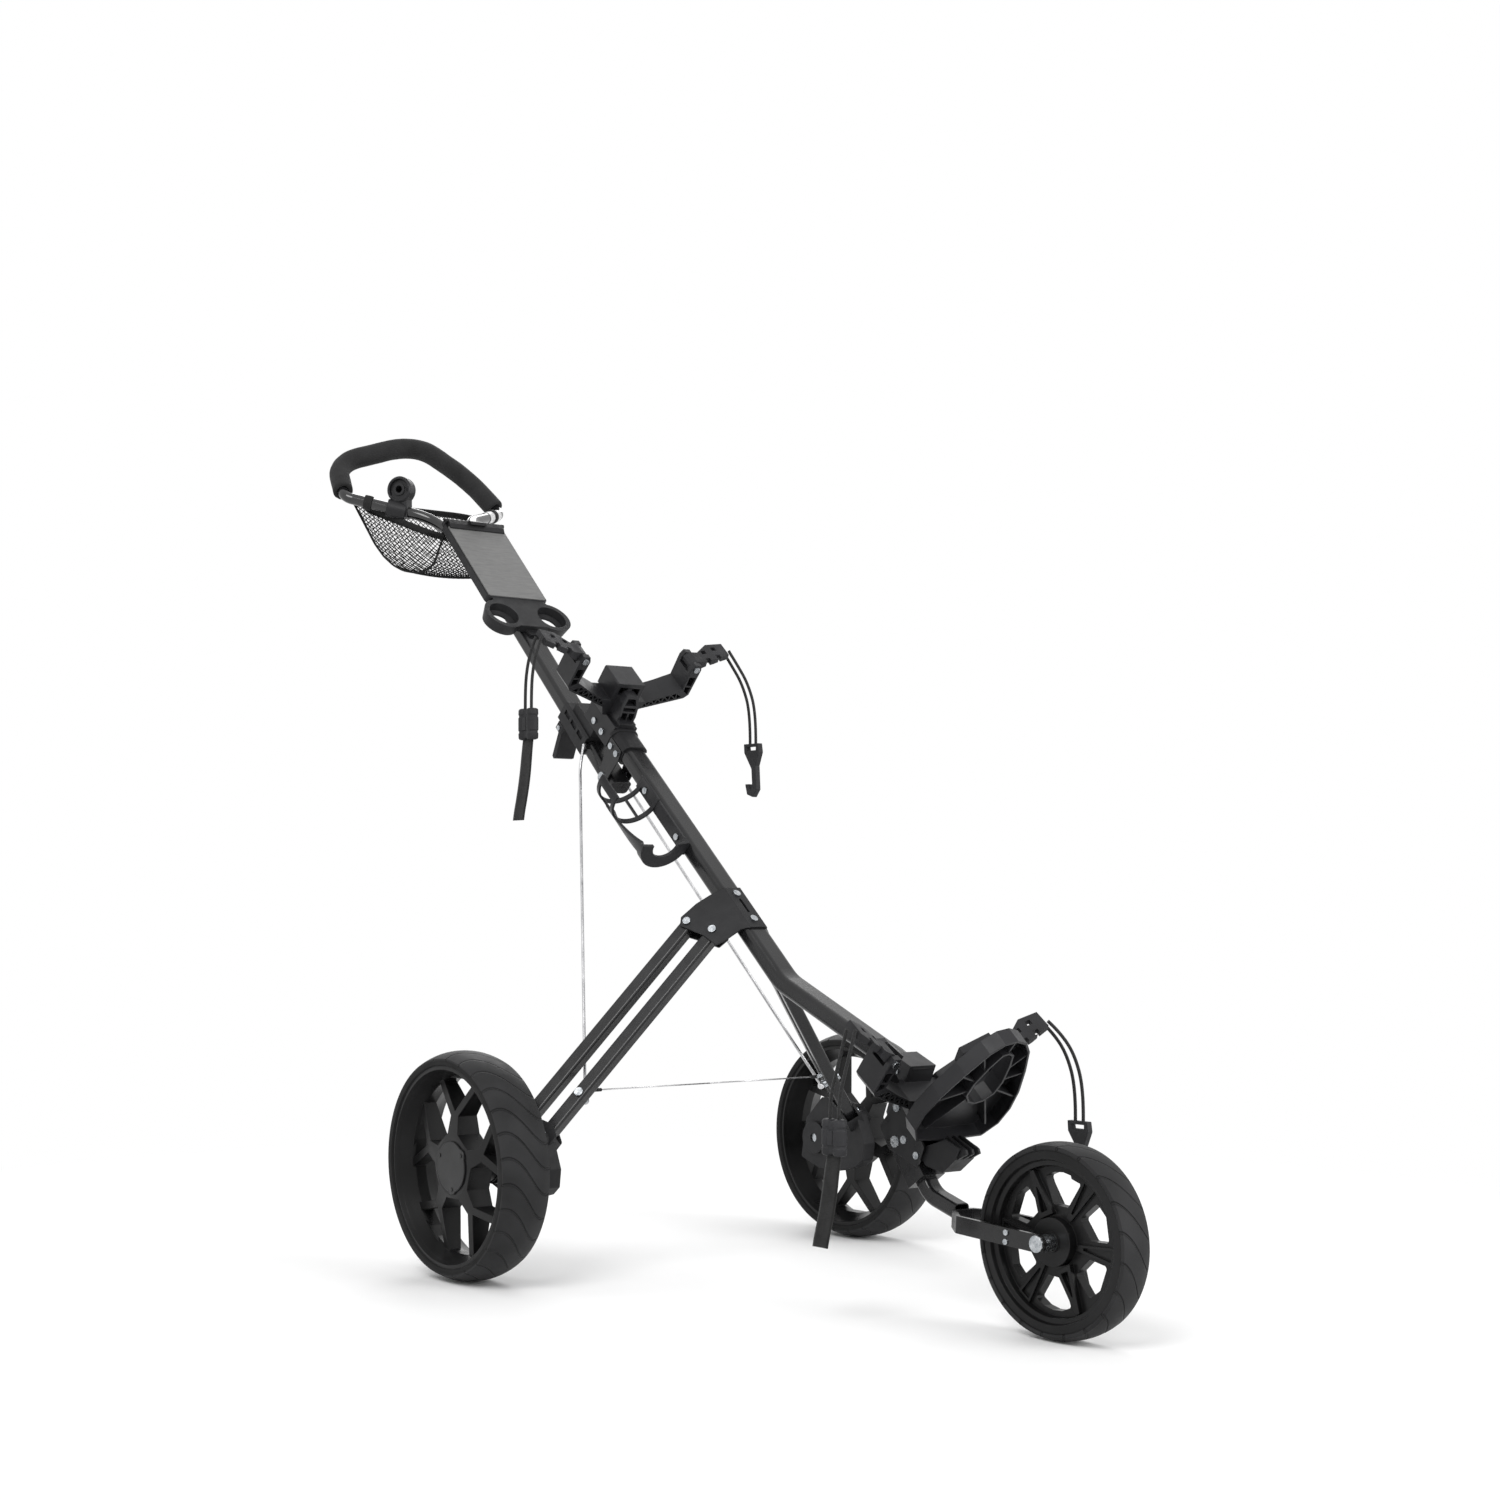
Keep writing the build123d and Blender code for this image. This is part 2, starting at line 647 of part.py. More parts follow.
def leg_frame(start):
    u, k = start
    o = wing_pt(u, k, LEG_MID)
    return Plane(origin=o, x_dir=wing_pt(u + LEG_DU, k + LEG_DK, LEG_MID) - o, z_dir=WING.z_dir)


def leg(start):
    fr = leg_frame(start)
    t = channel(fr, -LEG_TAIL, LEG_LEN + LEG_TAIL, LEG_W, LEG_T, 3.0, LEG_WALL)
    for d in (0.0, LEG_LEN):
        t -= bar(spot(fr, d, 0, -20), spot(fr, d, 0, 20), PIN_R + RUN)
    return t, fr


def leg_bar(fr, d, z0, z1, r):
    """Round bar across a leg at distance d, its ends measured from the wing's outer face."""
    return bar(spot(fr, d, 0, z0 - LEG_MID), spot(fr, d, 0, z1 - LEG_MID), r)


leg_upper, FRU = leg(LEG_UP)
leg_lower, FRL = leg(LEG_LO)
wing_pins = []
inner_face = INNER_TOP - INNER_T
for fr in (FRU, FRL):
    one = leg_bar(fr, 0, inner_face - 1.8, HEAD, PIN_R)
    wing_pins.append(one + leg_bar(fr, 0, 0, 2.2, 5.0) + leg_bar(fr, 0, inner_face - 1.8, inner_face, 4.4))
    drill = leg_bar(fr, 0, inner_face - 5, 5, PIN_R)
    mid_bracket = mid_bracket - drill - flip(drill)
    inner_plate = inner_plate - drill

# ---- bolt through the lower leg, with the ball cup for the rod on its inner end
BALL = spot(FRL, LEG_BOLT, 0, BALL_OFF)
CUP_END = BALL_OFF + ROD_R + 1.2
leg_bolt = bar(spot(FRL, LEG_BOLT, 0, -LEG_T / 2), spot(FRL, LEG_BOLT, 0, LEG_T / 2), PIN_R)
leg_bolt += bar(spot(FRL, LEG_BOLT, 0, LEG_T / 2), spot(FRL, LEG_BOLT, 0, LEG_T / 2 + 3.0), 5.5)
leg_bolt += bar(spot(FRL, LEG_BOLT, 0, -LEG_T / 2), spot(FRL, LEG_BOLT, 0, CUP_END), 6.0)
ball_seat = Plane(origin=BALL, x_dir=FRL.x_dir, z_dir=FRL.z_dir)
leg_bolt -= ball_seat * Sphere(BALL_R + RUN)
leg_lower -= bar(spot(FRL, LEG_BOLT, 0, -20), spot(FRL, LEG_BOLT, 0, 20), PIN_R)

# ---- rod from the shaft to the leg
ROD_TOP = (-55.7, -24.2, 6.7)
LUG_OUT = abs(ROD_TOP[1]) - ROD_R - 0.35
rod_top = spot(SHAFT, *ROD_TOP)
rod_bend = Vector(-168.0, -30.0, 639.0)
rod_route = [rod_top, rod_bend, BALL]
rod = routed(rod_route, bend_radii(rod_route, 0.35), ROD_R)
rod += ball_seat * Sphere(BALL_R)
rod += Pos(rod_top.X, rod_top.Y, rod_top.Z) * Sphere(ROD_R)

# ---- knuckle at the foot of the two legs, with the wheel hub housing
K_UP = (LEG_UP[0] + LEG_LEN * LEG_DU, LEG_UP[1] + LEG_LEN * LEG_DK)
K_LO = (LEG_LO[0] + LEG_LEN * LEG_DU, LEG_LO[1] + LEG_LEN * LEG_DK)
K_OUT = 1.4
K_SLOT = LEG_T / 2 + 0.3
K_IN = LEG_MID - K_SLOT - 2.0
HUB_IN, HUB_OUT = 238.0, 283.6


def knuckle_right():
    ears = [
        (K_UP[0] - 16, K_UP[1] - 12),
        (K_LO[0] - 4, K_LO[1] - 17),
        (K_LO[0] + 12, K_LO[1] - 14),
        (K_LO[0] + 19, K_LO[1] + 2),
        (K_LO[0] + 15, K_LO[1] + 16),
        (K_UP[0] + 8, K_UP[1] + 19),
        (K_UP[0] - 8, K_UP[1] + 18),
        (K_UP[0] - 17, K_UP[1] + 4),
    ]
    body = wing_prism(ears, K_IN, K_OUT, 4.0)
    body += along_y(BASE, 0, REAR_R, -HUB_IN, -HUB_OUT, 22.0)
    body += along_y(BASE, 0, REAR_R, -HUB_IN - 8, -HUB_IN - 14, 25.0)
    body += along_y(BASE, 0, REAR_R, -HUB_OUT + 12, -HUB_OUT + 4, 25.0)
    shield = [
        (-30, 112),
        (-20, 165),
        (12, 196),
        (66, 190),
        (80, 178),
        (96, 140),
        (93, 118),
        (80, 108),
        (40, 98),
        (5, 100),
    ]
    body += side(BASE, shield, -262, -243, 4.0)
    pad_line = [(18, 126), (20, 168), (66, 186), (80, 172), (74, 158), (52, 146), (24, 122)]
    body += side(BASE, pad_line, -270, -262)
    slot = [
        (K_UP[0] - 90, -40),
        (K_LO[0] + 13.0, -40),
        (K_LO[0] + 13.0, K_LO[1] + 12.8),
        (K_UP[0] + 6.0, K_UP[1] + 13.0),
        (K_UP[0] - 90, K_UP[1] + 13.0),
    ]
    body -= wing_prism(slot, LEG_MID - K_SLOT, LEG_MID + K_SLOT)
    for fr in (FRU, FRL):
        body -= leg_bar(fr, LEG_LEN, K_IN, K_OUT + 30, PIN_R)
        body -= leg_bar(fr, LEG_LEN, K_OUT, K_OUT + 30, 5.3)
    body -= along_y(BASE, 0, REAR_R, -HUB_IN + 5, -HUB_OUT - 5, AXLE_R)
    return body


knuckle = knuckle_right()
knuckle_pins = []
for fr in (FRU, FRL):
    one = leg_bar(fr, LEG_LEN, K_IN, K_OUT, PIN_R)
    knuckle_pins.append(one + leg_bar(fr, LEG_LEN, K_OUT, K_OUT + HEAD, 5.0))
rear_axle = along_y(BASE, 0, REAR_R, -HUB_IN - 2, -REAR_Y - 16.5, AXLE_R)
rear_axle += along_y(BASE, 0, REAR_R, -HUB_OUT, -HUB_OUT - 0.3, 10.0)

# ---- stay cable between the two lower legs, with a black sleeve at each end
CABLE_R = 0.9
CABLE_D = LEG_BOLT - 16.0
cable_at = spot(FRL, CABLE_D, 0, -LEG_T / 2 - 6.0)
stay_lug = bar(spot(FRL, CABLE_D, 0, -LEG_T / 2), cable_at, 2.6)
leg_bolt += stay_lug + Pos(cable_at.X, cable_at.Y, cable_at.Z) * Sphere(2.6)
cable_y = abs(cable_at.Y) - 3.0
stay_cable = bar((cable_at.X, -cable_y, cable_at.Z), (cable_at.X, cable_y, cable_at.Z), CABLE_R)
for s in (-1, 1):
    sleeve_end = (cable_at.X, s * (cable_y - 9), cable_at.Z)
    stay_cable += bar((cable_at.X, s * cable_y, cable_at.Z), sleeve_end, 2.2)

# ---------------------------------------------------------------- upper shaft with its latch
SHAFT_TOP, SHAFT_END = -480.0, 20.0
SHAFT_PLUG = 12.0
SLEEVE_X0, SLEEVE_X1 = -132.0, -60.0
SLEEVE_HALF = 20.8
shaft_full = solid_channel(SHAFT, SHAFT_TOP - 10, SHAFT_END + 10, SHAFT_W, SHAFT_H, SHAFT_R)
shaft = channel(SHAFT, SHAFT_TOP, SHAFT_END, SHAFT_W, SHAFT_H, SHAFT_R, SHAFT_WALL)
shaft += solid_channel(SHAFT, SHAFT_END - SHAFT_PLUG, SHAFT_END, SHAFT_W - 1, SHAFT_H - 1, SHAFT_R)
shaft -= drill_y(SHAFT, 0, 0, PIVOT_R + RUN)
for s in (-1, 1):
    shaft += along_y(SHAFT, ROD_TOP[0], ROD_TOP[2] - 2, s * SHAFT_W / 2, s * LUG_OUT, 4.0)

sleeve = block(SHAFT, SLEEVE_X0, SLEEVE_X1, -SLEEVE_HALF, SLEEVE_HALF, -14, 16)
sleeve = chamfer(sleeve.edges().filter_by(lambda e: abs(e.tangent_at(0).dot(SHAFT.x_dir)) > 0.99), 3.0)
PAD_TOP = -15.0 - GAP
pad = side(TUBE, [(-120, -40), (-64, -40), (-64, PAD_TOP), (-120, PAD_TOP)], -16, 16)
sleeve += pad - block(SHAFT, -200, 0, -30, 30, -60, 0)
sleeve -= shaft_full
for i in range(3):
    x = SLEEVE_X0 + 8 + 20 * i
    for s in (-1, 1):
        sleeve -= block(SHAFT, x, x + 15, *sorted((s * (SLEEVE_HALF - 2.5), s * 30)), 3, 10)
LATCH_X, LATCH_Z = -121.0, -21.0
LATCH_PIN_R = 2.0
LATCH_HALF = 15.1
LATCH_EAR = 19.0
for s in (-1, 1):
    ear = sorted((s * (LATCH_HALF + GAP), s * LATCH_EAR))
    sleeve += block(SHAFT, LATCH_X - 7, LATCH_X + 7, *ear, LATCH_Z - 5, -13.9)
sleeve -= drill_y(SHAFT, LATCH_X, LATCH_Z, LATCH_PIN_R)

upper_lever = along_y(SHAFT, LATCH_X, LATCH_Z, -LATCH_HALF, LATCH_HALF, 4.6)
paddle = [(-4.4, -1), (4.4, -1), (18, -38), (15, -42), (10, -41)]
upper_lever += side(SHAFT, [(LATCH_X + a, LATCH_Z + b) for a, b in paddle], -LATCH_HALF, LATCH_HALF)
ramp_from = spot(SHAFT, LATCH_X, 0, LATCH_Z - 1)
ramp_to = spot(SHAFT, LATCH_X + 13, 0, LATCH_Z - 39)
ramp = Plane(origin=ramp_from, x_dir=(0, 1, 0), z_dir=ramp_to - ramp_from)
for y in (-9.0, 0.0, 9.0):
    upper_lever -= ramp * (Pos(y, -6, 23) * Box(4.5, 10, 26))
upper_lever -= drill_y(SHAFT, LATCH_X, LATCH_Z, LATCH_PIN_R + RUN)

# ---------------------------------------------------------------- console
PLATE_LOW = SHAFT_H / 2 + 0.02
CON_TOP = 21.0
CON_X0, CON_X1, CON_HALF = -515.0, -345.0, 50.0
BALL_X, BALL_Y = -311.0, 40.0
RING_OUT, RING_IN, RING_LIP, RING_LOW = 29.5, 22.0, 17.0, 3.0
PANEL_T = 1.5
CLIP_X, CLIP_Z, CLIP_R = CON_X0 + 1.0, CON_TOP + 3.3, 3.0
CLIP_HALF, CLIP_PIN_R = 46.0, 1.5

CON_T = 3.0


def rect(x0, x1, y0, y1):
    return [(x0, y0), (x1, y0), (x1, y1), (x0, y1)]


def both_sides(half):
    """Closed outline from the points of its left half, given from back to front."""
    return half + [(x, -y) for x, y in reversed(half)]


console = plan(SHAFT, rect(CON_X0, CON_X1, -CON_HALF, CON_HALF), PLATE_LOW, CON_TOP, 7.0)
for s in (-1, 1):
    pocket = rect(CON_X0 + CON_T, CON_X1 - CON_T, *sorted((s * 20, s * (CON_HALF - CON_T))))
    console -= plan(SHAFT, pocket, PLATE_LOW - 1, CON_TOP - CON_T, 3.0)
neck = both_sides([(CON_X1 - 2, 42), (BALL_X - 8, 56), (BALL_X + 24, 30)])
console += plan(SHAFT, neck, PLATE_LOW, CON_TOP)
console += plan(SHAFT, both_sides([(BALL_X - 10, 20), (BALL_X + 34, 8)]), PLATE_LOW, 14)
ring_at = [
    Plane(origin=spot(SHAFT, BALL_X, s * BALL_Y, 0), x_dir=SHAFT.x_dir, z_dir=SHAFT.z_dir) for s in (-1, 1)
]
ring_cup = [(0, RING_LOW), (RING_OUT - 4, RING_LOW), (RING_OUT, CON_TOP), (0, CON_TOP)]
ring_hole = [
    (0, 0),
    (RING_LIP, 0),
    (RING_LIP, RING_LOW + 3),
    (RING_IN, RING_LOW + 6),
    (RING_IN, CON_TOP + 9),
    (0, CON_TOP + 9),
]
for at in ring_at:
    console += at * turned(ring_cup)
for at in ring_at:
    console -= at * turned(ring_hole)
console -= block(SHAFT, -360, -270, -SHAFT_W / 2 - GAP, SHAFT_W / 2 + GAP, -12, PLATE_LOW)
EAR_R = CLIP_R + 0.2
for s in (-1, 1):
    ear = sorted((s * (CLIP_HALF + GAP), s * CON_HALF))
    console += along_y(SHAFT, CLIP_X, CLIP_Z, *ear, EAR_R)
    console += block(SHAFT, CLIP_X - EAR_R, CLIP_X + EAR_R, *ear, CON_TOP - 6, CLIP_Z)
console -= drill_y(SHAFT, CLIP_X, CLIP_Z, CLIP_PIN_R)
panel_line = rect(CON_X0 + 10, CON_X1 - 3.5, 2 - CON_HALF, CON_HALF - 2)
panel = plan(SHAFT, panel_line, CON_TOP, CON_TOP + PANEL_T, 4.0)
clip_face = CON_TOP + PANEL_T + GAP
clip = along_y(SHAFT, CLIP_X, CLIP_Z, -CLIP_HALF, CLIP_HALF, CLIP_R)
clip_top = CLIP_Z + CLIP_R
clip_line = [
    (CLIP_X, CON_TOP + GAP),
    (CLIP_X + 8, CON_TOP + GAP),
    (CLIP_X + 8, clip_face),
    (CLIP_X + 15, clip_face),
    (CLIP_X + 15, CLIP_Z),
    (CLIP_X + 9, clip_top),
    (CLIP_X, clip_top),
]
thumb_line = [(2, -0.3), (9, -0.3), (12, 3.7), (8, 5.7), (3, 3.7)]
clip += side(SHAFT, clip_line, -CLIP_HALF, CLIP_HALF)
clip += side(SHAFT, [(CLIP_X + a, clip_top + b) for a, b in thumb_line], -13, 13)
clip -= drill_y(SHAFT, CLIP_X, CLIP_Z, CLIP_PIN_R + RUN)

console_screws = []
for x in (-490.0, -370.0):
    console_screws.append(bar(spot(SHAFT, x, 0, 4), spot(SHAFT, x, 0, CON_TOP), 2.5))
    drill = bar(spot(SHAFT, x, 0, 4), spot(SHAFT, x, 0, CON_TOP + 1), 2.5)
    console = console - drill
    shaft = shaft - drill

# ---------------------------------------------------------------- handle
HANDLE_SIDE = [HANDLE_ROOT, HANDLE_RISE, HANDLE_NECK, HANDLE_ELBOW, HANDLE_CORNER]
SIDE_BENDS = [RISE_BEND, NECK_BEND, ELBOW_BEND, CORNER_BEND]
BAND_FROM, BAND_TO, BAND_T = 0.58, 0.89, 1.0


def shaft_pt(p):
    return spot(SHAFT, *p)


def mirrored(p):
    return (p[0], -p[1], p[2])


def between(p, q, t):
    return tuple(a + (b - a) * t for a, b in zip(p, q))


def on_side(t):
    """Point on the bare run between the neck (0) and the elbow (1) of the handle's left side."""
    return between(HANDLE_NECK, HANDLE_ELBOW, t)


handle_local = HANDLE_SIDE + [HANDLE_APEX] + [mirrored(p) for p in reversed(HANDLE_SIDE)]
handle_bends = SIDE_BENDS + [APEX_BEND] + SIDE_BENDS[::-1]
handle_line = [shaft_pt(p) for p in handle_local]
handle = routed(handle_line, handle_bends, HANDLE_R, HANDLE_R - HANDLE_WALL)

grip_end = between(HANDLE_ELBOW, HANDLE_CORNER, GRIP_SHORT / math.dist(HANDLE_ELBOW, HANDLE_CORNER))
grip_local = [grip_end, HANDLE_CORNER, HANDLE_APEX, mirrored(HANDLE_CORNER), mirrored(grip_end)]
grip_bends = [CORNER_BEND, APEX_BEND, CORNER_BEND]
grip = routed([shaft_pt(p) for p in grip_local], grip_bends, GRIP_R, HANDLE_R + GAP)
band = hoop(shaft_pt(on_side(BAND_FROM)), shaft_pt(on_side(BAND_TO)), HANDLE_R + BAND_T, HANDLE_R)
handle_bolts = []
for x in (-442.0, -474.0):
    reach = ROOT_Y + HANDLE_R
    handle_bolts.append(rivet_y(SHAFT, x, ROOT_Z, reach, 2.5, 4.6))
    for s in (-1, 1):
        handle_bolts[-1] += along_y(SHAFT, x, ROOT_Z, s * SHAFT_W / 2, s * (ROOT_Y - HANDLE_R), 4.5)
    drill = drill_y(SHAFT, x, ROOT_Z, 2.5)
    shaft = shaft - drill
    handle = handle - drill
latch_pin = rivet_y(SHAFT, LATCH_X, LATCH_Z, LATCH_EAR, LATCH_PIN_R, 3.6)

# ---------------------------------------------------------------- umbrella holder
UMB_AT = (-618.0, -67.5, -2.5)
UMB_BORE_R, UMB_BORE = 5.2, 18.0
UMB_BLOCK, UMB_BLOCK_AT = (42.0, 24.0, 18.0), (-20.0, 0.0, -2.0)
UMB_CLAMP, UMB_CLAMP_R = 14.0, 13.0
umb = shaft_pt(UMB_AT)
umb_axis = Vector(0.56, -0.83, 0.0).normalized()
umb_pl = Plane(origin=umb, x_dir=(0, 0, 1), z_dir=umb_axis)
umb_profile = [
    (0, -12),
    (16, -12),
    (19, -9),
    (19, 8),
    (17, 10),
    (15, 10),
    (14, 5),
    (9, 5),
    (9, UMB_BORE / 2),
    (0, UMB_BORE / 2),
]
umbrella = umb_pl * turned(umb_profile)
umbrella += umb_pl * (Pos(*UMB_BLOCK_AT) * Box(*UMB_BLOCK))
right_side = [shaft_pt(mirrored(on_side(t))) for t in (0.0, 1.0)]
run_dir = (right_side[1] - right_side[0]).normalized()
clamp_mid = right_side[0] + run_dir * ((umb - right_side[0]).dot(run_dir))
umbrella += bar(clamp_mid - run_dir * UMB_CLAMP, clamp_mid + run_dir * UMB_CLAMP, UMB_CLAMP_R)
umbrella -= bar(clamp_mid - run_dir * 60, clamp_mid + run_dir * 60, HANDLE_R)
umb_bore = Cylinder(UMB_BORE_R, UMB_BORE + 5, align=(Align.CENTER, Align.CENTER, Align.MIN))
umbrella -= umb_pl * (Pos(0, 0, -UMB_BORE / 2) * umb_bore)

# ---------------------------------------------------------------- accessory net
NET_RIM = ((-654.0, 109.0, -60.0), (-522.0, 34.0, -12.0))
NET_LOW = ((-545.0, 85.0, -90.0), (-515.0, 32.0, -74.0))
NET_T = 1.5
TAB_R, TAB_LOOP_T, TAB_LOOP_HALF = 2.2, 1.5, 6.0
TAB_ON_TUBE, TAB_ON_RIM = 0.74, 0.04


def net_ring(back, front, t):
    pts = [back, front, mirrored(front), mirrored(back)]
    mid = sum((Vector(*p) for p in pts), Vector(0, 0, 0)) / 4
    local = []
    for p in pts:
        d = Vector(*p) - mid
        local.append(mid + d * (1 - t / 40.0))
    return [shaft_pt((p.X, p.Y, p.Z)) for p in local]


def net_solid(t, lift):
    up = SHAFT.z_dir * lift
    top = [p + up for p in net_ring(*NET_RIM, t)]
    low = [p + up for p in net_ring(*NET_LOW, t)]
    faces = [make_face(Polyline(*ring, close=True)) for ring in (low, top)]
    return loft(faces, ruled=True)


net = net_solid(0.0, 0.0) - net_solid(NET_T, NET_T)
tab_bore = HANDLE_R + BAND_T + GAP
tab_at = shaft_pt(on_side(TAB_ON_TUBE))
tab_run = (shaft_pt(HANDLE_ELBOW) - shaft_pt(HANDLE_NECK)).normalized()
tab_half = tab_run * TAB_LOOP_HALF
tab = bar(tab_at, shaft_pt(between(*NET_RIM, TAB_ON_RIM)), TAB_R)
tab += bar(tab_at - tab_half, tab_at + tab_half, tab_bore + TAB_LOOP_T)
tab -= bar(tab_at - tab_half * 8, tab_at + tab_half * 8, tab_bore)
net = net + tab + flip(tab)
room = Box(UMB_BLOCK[0] + 2 * GAP, UMB_BLOCK[1] + 2 * GAP, UMB_BLOCK[2] + 2 * GAP)
net -= umb_pl * (Pos(*UMB_BLOCK_AT) * room)
net -= bar(clamp_mid - run_dir * (UMB_CLAMP + GAP), clamp_mid + run_dir * (UMB_CLAMP + GAP), UMB_CLAMP_R + GAP)

# ---------------------------------------------------------------- bottle cage
CAGE_N = 5.0
CAGE_IN, CAGE_OUT = 32.0, 35.0
CAGE_Y = -TUBE_W / 2 - 0.8 - CAGE_OUT
CAGE_LOOP, CAGE_FOOT = (67.0, 112.0), (184.0, 196.0)
CAGE_SPINE, CAGE_SPINE_T = (62.0, 196.0), 3.2
CAGE = Plane(origin=spot(TUBE, 0, CAGE_Y, CAGE_N), x_dir=(0, 1, 0), z_dir=TUBE.x_dir)


def cage_pt(deg, r, u):
    x, y = polar(r, deg)
    return CAGE.from_local_coords(Vector(x, y, u))


def cage_shell(u0, u1):
    ring = Circle(CAGE_OUT) - Circle(CAGE_IN)
    return CAGE * (Pos(0, 0, u0) * extrude(ring, u1 - u0))


def cage_sector(a0, a1, u0, u1):
    pts = [(0, 0)] + [polar(70, a0 + (a1 - a0) * i / 4) for i in range(5)]
    return CAGE * (Pos(0, 0, u0) * extrude(outline(pts), u1 - u0))


def seen_band(deg, p, q, half, r=0.0):
    """Bar-shaped window looking from the given direction: p and q are (sideways, u)."""
    x, y = polar(1.0, deg)
    out = CAGE.x_dir * x + CAGE.y_dir * y
    pl = Plane(origin=CAGE.origin, x_dir=CAGE.z_dir, z_dir=out)
    du, ds = q[1] - p[1], q[0] - p[0]
    size = math.hypot(du, ds)
    nu, ns = -ds / size * half, du / size * half
    pts = [(p[1] + nu, p[0] + ns), (q[1] + nu, q[0] + ns), (q[1] - nu, q[0] - ns), (p[1] - nu, p[0] - ns)]
    return pl * extrude(outline(pts, r), 60)


loop = cage_shell(*CAGE_LOOP) & cage_sector(165, 372, *CAGE_LOOP)
for a0, a1 in ((185, 238), (244, 300), (306, 350)):
    loop -= cage_sector(a0, a1, CAGE_LOOP[0] + 6, CAGE_LOOP[1] - 6)
spine_face = -TUBE_W / 2 - CAGE_SPINE_T
spine = block(TUBE, *CAGE_SPINE, spine_face, -TUBE_W / 2, -8, 10)
arm_cage = cage_shell(74, 202) & seen_band(225, (-11, 86), (18, 194), 7.0, 5.0)
foot = CAGE * (Pos(0, 0, CAGE_FOOT[1] - 4) * extrude(Circle(CAGE_OUT), 4.0))
foot = foot & cage_sector(180, 372, *CAGE_FOOT)
foot -= CAGE * (Pos(0, 0, CAGE_FOOT[0]) * extrude(Circle(18.0), 20.0))
foot += cage_shell(*CAGE_FOOT) & cage_sector(196, 372, *CAGE_FOOT)
cage = loop + spine + arm_cage + foot
cage -= block(TUBE, 0, 220, -TUBE_W / 2, 40, -60, 60)
cage_screws = []
for u in (82.0, 172.0):
    one = along_y(TUBE, u, 1, -TUBE_W / 2 + 6, spine_face, RIVET_R)
    cage_screws.append(one + along_y(TUBE, u, 1, spine_face, spine_face - HEAD, 4.4))
    drill = along_y(TUBE, u, 1, -TUBE_W / 2 + 6, spine_face - 3, RIVET_R)
    tube = tube - drill
    cage = cage - drill - along_y(TUBE, u, 1, spine_face, spine_face - 27, 5.0)

# ---------------------------------------------------------------- lower cradle, hinge and stirrup
NOSE_STUD = (450.0, 193.0)
LOWER_BOLT = (438.0, 228.7)
LATCH2 = (470.0, 177.0)
LOWER_PLATE = [
    (409, 205),
    (421, 218),
    (437, 238),
    (449, 236),
    (482, 187),
    (471, 163),
    (450, 172),
    (425, 180),
]
lower_plate = side(BASE, LOWER_PLATE, PLATE_IN, PLATE_OUT, 5.0)
plate_seat = side(BASE, inset(LOWER_PLATE[:6], -0.4), PLATE_IN, 60)
foot_block = [(418, 222), (429, 250), (466, 224), (474, 205), (452, 206.5), (425, 206.5)]
PAD_LINE = [(28, 36), (31, 45), (50, 64), (46, 82), (80, 103), (84, 100), (82, 86), (78, 60), (60, 50)]
PAD_BACK, PAD_FRONT = CR_BACK - 4.0, CR_BACK + 6.0
step_pad = across(CRADLE2, PAD_LINE, PAD_BACK, PAD_FRONT)
lower_cradle = cradle(CRADLE2, step_pad + flip(step_pad)) + side(BASE, foot_block, -PLATE_IN, PLATE_IN)
lower_cradle += block(LOWER, LOWER_END - 30, LOWER_END + 4, -19.5, 19.5, -15, 15)
lower_cradle += side(CRADLE2, [(-112, 24), (-88, 20), (-88, 58), (-100, 58)], -15, 15)
lower_cradle -= tube_full
lower_cradle -= plate_seat + flip(plate_seat)

STIR_U0, STIR_U1 = 732.0, 752.0
STIR_BAND, STIR_WEB, STIR_RIB = 2.5, 3.0, 2.0
STIR_HALF = [(0, 221), (16, 217), (30, 203), (46, 172), (60, 138), (66, 110), (64, 86), (50, 67), (0, 64)]
EYE_HALF = [(0, 200), (7, 197), (14, 180), (20, 155), (19, 138), (10, 128), (0, 125)]


def symmetric(half):
    return half + [(-y, w) for y, w in reversed(half[1:-1])]


def stir(pts, u0, u1, r=0.0):
    return across(TUBE, pts, u0, u1, r)


rim_line = symmetric(STIR_HALF)
eye_line = symmetric(EYE_HALF)
inner_line = inset(rim_line, STIR_BAND)
stirrup = stir(rim_line, STIR_U0, STIR_U1) - stir(inner_line, STIR_U0 + STIR_WEB, STIR_U1 + 1)
rib_zone = stir(inner_line, STIR_U0 + STIR_WEB - 0.5, STIR_U1 - 2)
for deg in (20, 55, 90, 125, 160, 200, 235, 305, 340):
    y, w = polar(80, deg)
    ny, nw = -w / 80 * STIR_RIB / 2, y / 80 * STIR_RIB / 2
    rib = [(ny, 150 + nw), (y + ny, 150 + w + nw), (y - ny, 150 + w - nw), (-ny, 150 - nw)]
    stirrup += stir(rib, STIR_U0 + 1, STIR_U1 - 2) & rib_zone
stirrup += stir(inset(eye_line, -STIR_BAND), STIR_U0, STIR_U1)
stirrup -= stir(eye_line, STIR_U0 - 1, STIR_U1 + 1)
foot_line = [(452, 206.8), (466, 224), (481, 233), (492, 217.2), (484.6, 209.1), (478, 206.8)]
stirrup_foot = side(BASE, foot_line, -PLATE_IN, PLATE_IN) - side(BASE, foot_block, -20, 20)
stirrup += stirrup_foot - plate_seat - flip(plate_seat)

